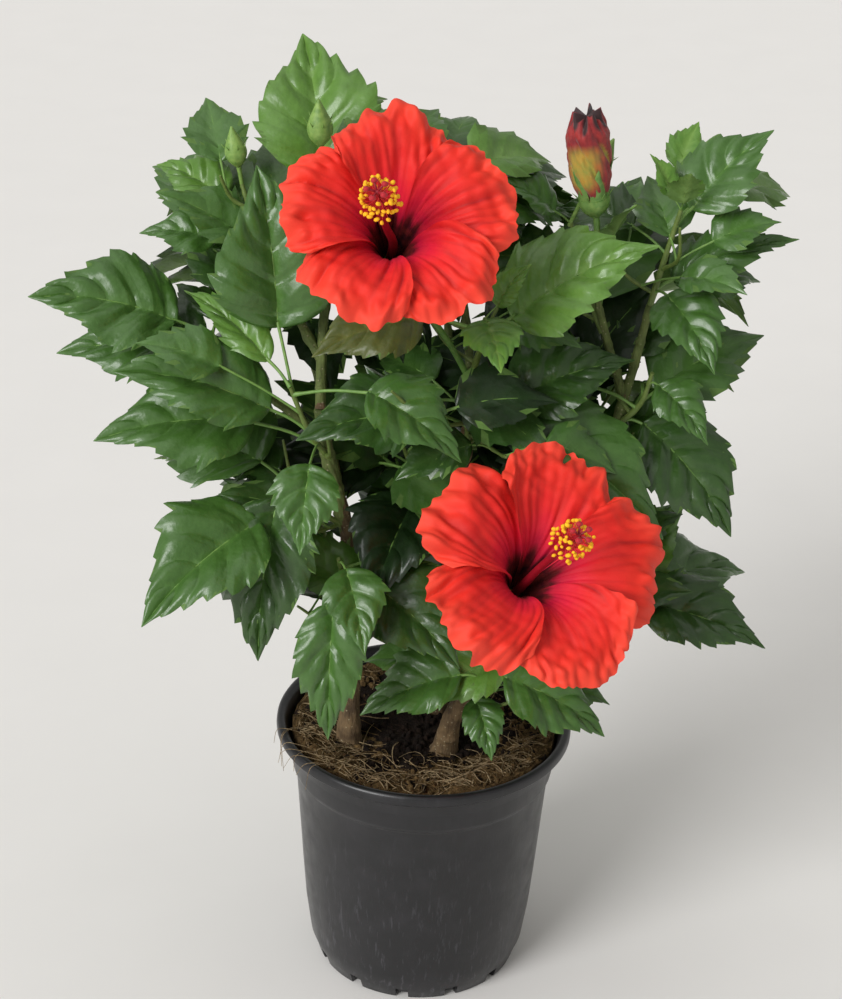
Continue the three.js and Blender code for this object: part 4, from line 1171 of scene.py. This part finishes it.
def petalGrid(point, number, plan):
    # The source's petal: radius 3.2 to reach along u^1.15, over 38 to 46 degrees to each side, sunk
    # in the throat by (1 - u)^6 and lifted by the cup's sine. Added here: a rim that falls back at
    # its sides and is lobed and crimped, hills that all five petals share, a fan of uneven wrinkles,
    # and a side that turns up where it lies over the next petal.
    u = np.linspace(0, 1, flower["rows"])[:, None]
    a = np.linspace(-1, 1, flower["columns"])[None, :]
    seed = plan["seed"] + 10 * number
    p = 1.9 * seed
    edge = np.abs(a)
    rimShape = (0.97 - 0.05 * edge ** 2 - 0.17 * edge ** 5 + 0.04 * uneven(a, 0, 1.1, seed)
                + 0.025 * uneven(a, 0, 0.4, seed + 1) + 0.02 * uneven(a, 0, 0.15, seed + 2))
    out = 3.2 + (plan["reach"] * rimShape - 3.2) * u ** 1.15
    wide = np.radians(38 + 8 * np.sin(np.pi * np.minimum(u * 1.1, 0.8))) * (1 - 0.08 * smooth(0.75, 1, u))
    fan = a + 0.05 * np.sin(5 * u + p) * u
    turn = np.radians(72 * number) + wide * (a + 0.03 * np.sin(7 * u + 3 * a + p) * u)
    x, y = out * np.cos(turn), out * np.sin(turn)
    lift = -flower["throatDepth"] * (1 - u) ** 6 + plan["cup"] * np.sin(np.pi * 0.62 * u)
    lift = lift + 2.2 * a * np.minimum(4 * u, 1)
    hills = u ** 1.6 * (3.0 * uneven(x, y, 42, plan["seed"]) + 1.3 * uneven(x, y, 17, plan["seed"] + 1))
    crimp = 2.4 * uneven(a + 0.1 * u, u, 0.4, seed + 3) + 1.3 * uneven(a, u, 0.18, seed + 4)
    rim = smooth(0.65, 1, u) * crimp
    strength = 0.5 + 0.5 * uneven(a, 0.4 * u, 0.6, seed + 5)
    line = (17 + 20 * u) * fan + 2.4 * uneven(a, 0.6 * u, 0.9, seed + 8)
    coarse = (8 + 9 * u) * fan + 2.2 * uneven(a, 0.6 * u, 1.2, seed + 9)
    wrinkle = strength * (0.42 * np.sin(line) + 0.7 * np.sin(coarse) ** 3)
    wrinkle = wrinkle + 0.4 * smooth(0.3, 0.8, u) * uneven(x, y, 6.5, plan["seed"] + 2)
    grow = smooth(0.08, 0.45, u)
    turned = (2.5 + 2.5 * math.sin(2.7 * p)) * smooth(0.55, 1, a) - 1.5 * smooth(0.5, 1, -a)
    roll = -5 * smooth(0.78, 1, u) ** 2 * (0.5 + 0.5 * uneven(a, 0, 1.3, seed + 6))
    grid = point(x, y, lift + hills + rim + wrinkle * grow + turned * u ** 2 + roll)
    # crease is high in the wrinkles' troughs, where the petal's colour darkens: partly its veins, partly
    # painted shade.
    crease = 0.35 * (0.5 - 0.5 * np.sin(line)) ** 5 + 0.5 * (0.5 - 0.5 * np.sin(coarse)) ** 7
    crease = crease * smooth(0.25, 0.6, u) * (1 - 0.6 * smooth(0.6, 1, u)) * (0.2 + 0.8 * strength)
    share = u + 0.05 * uneven(a, 0, 0.5, seed + 7) * (1 - u)
    return grid, {"share": np.clip(share, 0, 1), "crease": np.clip(crease, 0, 0.8)}


def columnGrids(heap, foot, point, draw):
    # The column: a slim rod that leaves the throat, slots 0 rod, 1 filament, 2 anther, 3 stigma.
    tip = flower["column"]
    axis = np.vstack([foot, point(np.zeros(4), np.array([0, 0.9, 0.9, 0]), np.array([0, 16, 32, tip]))])
    addTube(heap, axis, lambda t, turn: 2.1 - 1.1 * t + 0.1 * np.sin(5 * turn), 14, 30, 0)
    bead = ballGrid(7)
    turn = evenTurns(7)
    lobed = bead * (1.5, 1.5, 1.15) * (1 + 0.05 * np.cos(turn * 3)[None, :, None])
    for k in range(flower["anthers"]):
        way = math.radians(goldenTurn * k)
        up = tip - 14 + 11 * (k / flower["anthers"]) + draw.uniform(-0.8, 0.8)
        far = draw.uniform(5.8, 8.6) * (1 - 0.2 * (k / flower["anthers"]) ** 2)
        climb = draw.uniform(1.5, 4.5)
        root = point(0.8 * math.cos(way), 0.8 * math.sin(way), up)
        end = point(far * math.cos(way), far * math.sin(way), up + climb)
        bend = point(0.55 * far * math.cos(way + 0.08), 0.55 * far * math.sin(way + 0.08), up + 0.25 * climb)
        addTube(heap, np.array([root, bend, end]), lambda t, turn: 0.26 - 0.08 * t, 4, 4, 1)
        size = np.array([1.15, 0.8, 0.75]) * draw.uniform(0.85, 1.25)
        spin = np.linalg.qr(draw.normal(size=(3, 3)))[0]
        spin = spin * np.sign(np.linalg.det(spin))
        addGrid(heap, (bead * size) @ spin.T + end, 2, wrap=True)
    for k in range(5):
        way = math.radians(72 * k + 20)
        root = point(0, 0, tip - 1.5)
        bend = point(1.6 * math.cos(way), 1.6 * math.sin(way), tip + 0.8)
        end = point(3.9 * math.cos(way), 3.9 * math.sin(way), tip + 2)
        addTube(heap, np.array([root, bend, end]), lambda t, turn: 0.5 - 0.05 * t, 6, 6, 0)
        addGrid(heap, lobed + end, 3, wrap=True)


def cupGrid(point, radii, start, length):
    # Radii at even heights, joined by a smooth curve, with five shallow ribs.
    rings, sides = 22, 40
    t = np.linspace(0, 1, rings)
    line = onPath(np.stack([radii, np.linspace(0, 1, len(radii)), np.zeros(len(radii))], -1), t)
    turn = evenTurns(sides)
    radius = line[:, :1] * (1 + 0.05 * np.cos(5 * turn)[None, :])
    height = start + length * line[:, 1:2] + 0 * turn
    return point(radius * np.cos(turn), radius * np.sin(turn), height)


def closedGrid(grid):
    # Adds a ring gathered at the middle of the first and of the last row.
    ends = [np.broadcast_to(grid[k].mean(axis=0), (1, *grid.shape[1:])) for k in (0, -1)]
    return np.concatenate([ends[0], grid, ends[1]])


def lobeSheet(heap, point, turn, radius, start, length, half, spread, thick=0.6):
    # A pointed lobe: half its width falls off as (1 - v)^0.7 from its foot, and its tip leans out.
    v = np.linspace(0, 1, 12)[:, None]
    a = np.linspace(-1, 1, 7)[None, :]
    width = half * ((1 - v) ** 0.7 * (1 + 0.25 * np.sin(np.pi * v)))
    out = radius + spread * v ** 1.6 - 0.35 * a * a * width
    c, s = math.cos(turn), math.sin(turn)
    side = a * width
    grid = point(out * c - side * s, out * s + side * c, start + length * v + 0 * a)
    addSheet(heap, grid[::-1], thick, (0, 0))


def openBloomPieces():
    flesh = petalFlesh()
    calyxSkin = greenSkin("calyxSkin", "#4f7a31", "#69923f")
    columnSkins = [
        twoTone("redColumn", "#7d0e1e", "#a81628", 3, {"Roughness": 0.45}),
        twoTone("redFilament", "#b81e26", "#d8382c", 2, {"Roughness": 0.5}),
        twoTone("pollenGrains", "#ee9a08", "#ffd21c", 1.2, {"Roughness": 0.8}),
        twoTone("stigmaVelvet", "#9a0c1c", "#c4182a", 0.8, {"Roughness": 0.7, "Sheen Weight": 0.1}),
    ]
    for name, plan in blooms.items():
        throat = np.array(plan["throat"], float)
        point = facing(throat, plan["turn"], plan["climb"], plan["spin"])
        place = name.split("_")[1].title()
        heap = newHeap()
        for number in range(5):
            grid, values = petalGrid(point, number, plan)
            addSheet(heap, grid, flower["petalThick"], (0, 0), values)
        fillPiece("petals" + place, heap, [flesh], [name], sharp=75)
        heap = newHeap()
        own = facing(throat, plan["turn"] + plan["lean"], plan["climb"], plan["spin"])
        columnGrids(heap, point(0, 0, -flower["throatDepth"]), own, np.random.default_rng(plan["seed"]))
        fillPiece("column" + place, heap, columnSkins, sharp=70)
        heap = newHeap()
        depth = flower["throatDepth"]
        foot = point(0, 0, -depth - 10)
        stalk = np.array([*plan["stalk"], foot, point(0, 0, -depth - 5)])
        addTube(heap, stalk, lambda t, turn: 1.35 + 0.35 * t ** 6 + 0.5 * np.exp(-20 * t), 12, 50)
        addGrid(heap, closedGrid(cupGrid(point, [1.8, 4.8, 6.2, 6.2, 2.6], -depth - 8, 9)), wrap=True)
        for k in range(5):
            lobeSheet(heap, point, math.radians(72 * k + 36), 6.0, -depth + 4, 11, 3.9, 2.5)
        for k in range(7):
            lobeSheet(heap, point, 2 * math.pi * k / 7, 2.6, -depth - 8, 12, 0.8, 6.5, 0.5)
        fillPiece("calyx" + place, heap, [calyxSkin], sharp=70)


openBloomPieces()


# The faded bloom, rolled on itself, and the green buds.

# front is the turn in radians on which the petals' yellow-green backs show.
faded = {"base": (65, 0, 385), "turn": -70, "climb": 80, "length": 44, "stalk": (67, 3, 350),
         "front": -1.2}


def rolledFlesh():
    # A petal past its day: limp and matt, dull red with the yellow-green of its backs along the folds.
    material, tree, shader = newMaterial("rolledPetalFlesh", {"Roughness": 0.62, "Sheen Weight": 0.2})
    streak = spreadTo(tree, attributeOf(tree, "fold"), 0, 1, 0.1, 0.9)
    blotch = patchOn(tree, 4, 4)
    red = mixColours(tree, blotch, "#74101a", "#9c2220")
    mottled = mixColours(tree, blotch, "#8f9038", "#b8882c")
    backed = mixColours(tree, streak, red, mottled)
    tip = spreadTo(tree, attributeOf(tree, "worn"), 0, 1)
    paint(tree, shader, mixColours(tree, tip, backed, "#2a080c"))
    bumpFrom(tree, shader, noiseOn(tree, 0.9, 3), 0.1)
    return material


def fadedPieces():
    # Radius is a spindle times 1 + the folds of five petals that wind round it.
    point = facing(np.array(faded["base"], float), faded["turn"], faded["climb"], 0)
    t = np.linspace(0, 1, 90)[:, None]
    turn = evenTurns(90)[None, :]
    radii = np.array([3.4, 6.0, 7.9, 8.7, 8.9, 8.8, 8.4, 6.0])
    spindle = spindleAt(radii, t)
    wound = 5 * (turn + np.radians(150) * t)
    folds = 0.10 * np.sin(wound) ** 3 + 0.05 * np.sin(2 * wound + 1) + 0.025 * np.sin(23 * turn + 9 * t)
    radius = spindle * (1 + folds * smooth(0, 0.2, t))
    height = 3 + (faded["length"] - 2 + 2.4 * np.sin(5 * turn + 2) * smooth(0.75, 1, t)
                  + 1.2 * np.sin(13 * turn) * smooth(0.85, 1, t)) * t
    lean = 2.2 * smooth(0.4, 1, t) ** 2
    grid = point(radius * np.cos(turn) + lean, radius * np.sin(turn), height)
    heap = newHeap()
    front = np.clip(np.cos(turn - faded["front"] - 0.8 * t), 0, 1) ** 2
    streak = np.maximum(smooth(0.02, 0.1, -folds), front) * smooth(0.15, 0.35, t) * (1 - smooth(0.6, 0.8, t))
    worn = smooth(0.8, 0.97, t) * (0.6 + 0.4 * np.sin(9 * turn))
    addGrid(heap, closedGrid(grid), wrap=True, values={"fold": padded(streak), "worn": padded(worn)})
    fillPiece("rolledPetals", heap, [rolledFlesh()], ["bloom_faded"], sharp=75)
    heap = newHeap()
    stalk = np.array([faded["stalk"], point(0, 0, -8), point(0, 0, 2)])
    addTube(heap, stalk, lambda t, turn: 1.25 + 0.3 * t, 12, 30)
    addGrid(heap, closedGrid(cupGrid(point, [2.2, 5.2, 6.6, 6.8], -1.3, 9)), wrap=True)
    for k in range(5):
        lobeSheet(heap, point, math.radians(72 * k), 6.4, 6, 17, 3.7, 3.2)
    for k in range(7):
        lobeSheet(heap, point, 2 * math.pi * k / 7 + 0.2, 2.6, -1, 13, 0.9, 7, 0.5)
    fillPiece("fadedCalyx", heap, [greenSkin("fadedCalyxSkin", "#55803a", "#7c9c50")], sharp=70)


fadedPieces()


def budPiece():
    # A bud is a closed calyx: a pointed spindle with five seams, on a ring of narrow bracts.
    heap = newHeap()
    for shoot in shoots:
        if "bud" not in shoot:
            continue
        bud = shoot["bud"]
        tip = onPath(shoot["twig"], 1.0)
        way = toward(bud["heading"], bud["rise"])
        base = tip + bud["stalk"] * way
        point = facing(base, bud["heading"] + 90, bud["rise"], 0)
        size = bud["size"] / 21
        addTube(heap, np.array([tip - 2 * way, 0.5 * (tip + base) + (0, 0, 0.3), base + 2 * way]),
                lambda t, turn: 0.9 + 0.5 * t ** 3, 10, 12)
        t = np.linspace(0, 1, 30)[:, None]
        turn = evenTurns(40)[None, :]
        radii = np.array([1.6, 4.4, 5.5, 5.0, 3.6, 2.0, 0.5]) * size
        spindle = spindleAt(radii, t)
        seam = np.abs(np.sin(2.5 * (turn + 0.4 * t))) ** 0.35
        radius = spindle * (0.93 + 0.09 * seam)
        grid = point(radius * np.cos(turn), radius * np.sin(turn), bud["size"] * t + 0 * turn)
        addGrid(heap, closedGrid(grid), wrap=True)
        for k in range(7):
            lobeSheet(heap, point, 2 * math.pi * k / 7, 1.6 * size, 0.5, 0.62 * bud["size"], 0.75 * size,
                      5.4 * size, 0.45)
    fillPiece("greenBuds", heap, [greenSkin("budSkin", "#62873a", "#86a552")], sharp=70)


budPiece()
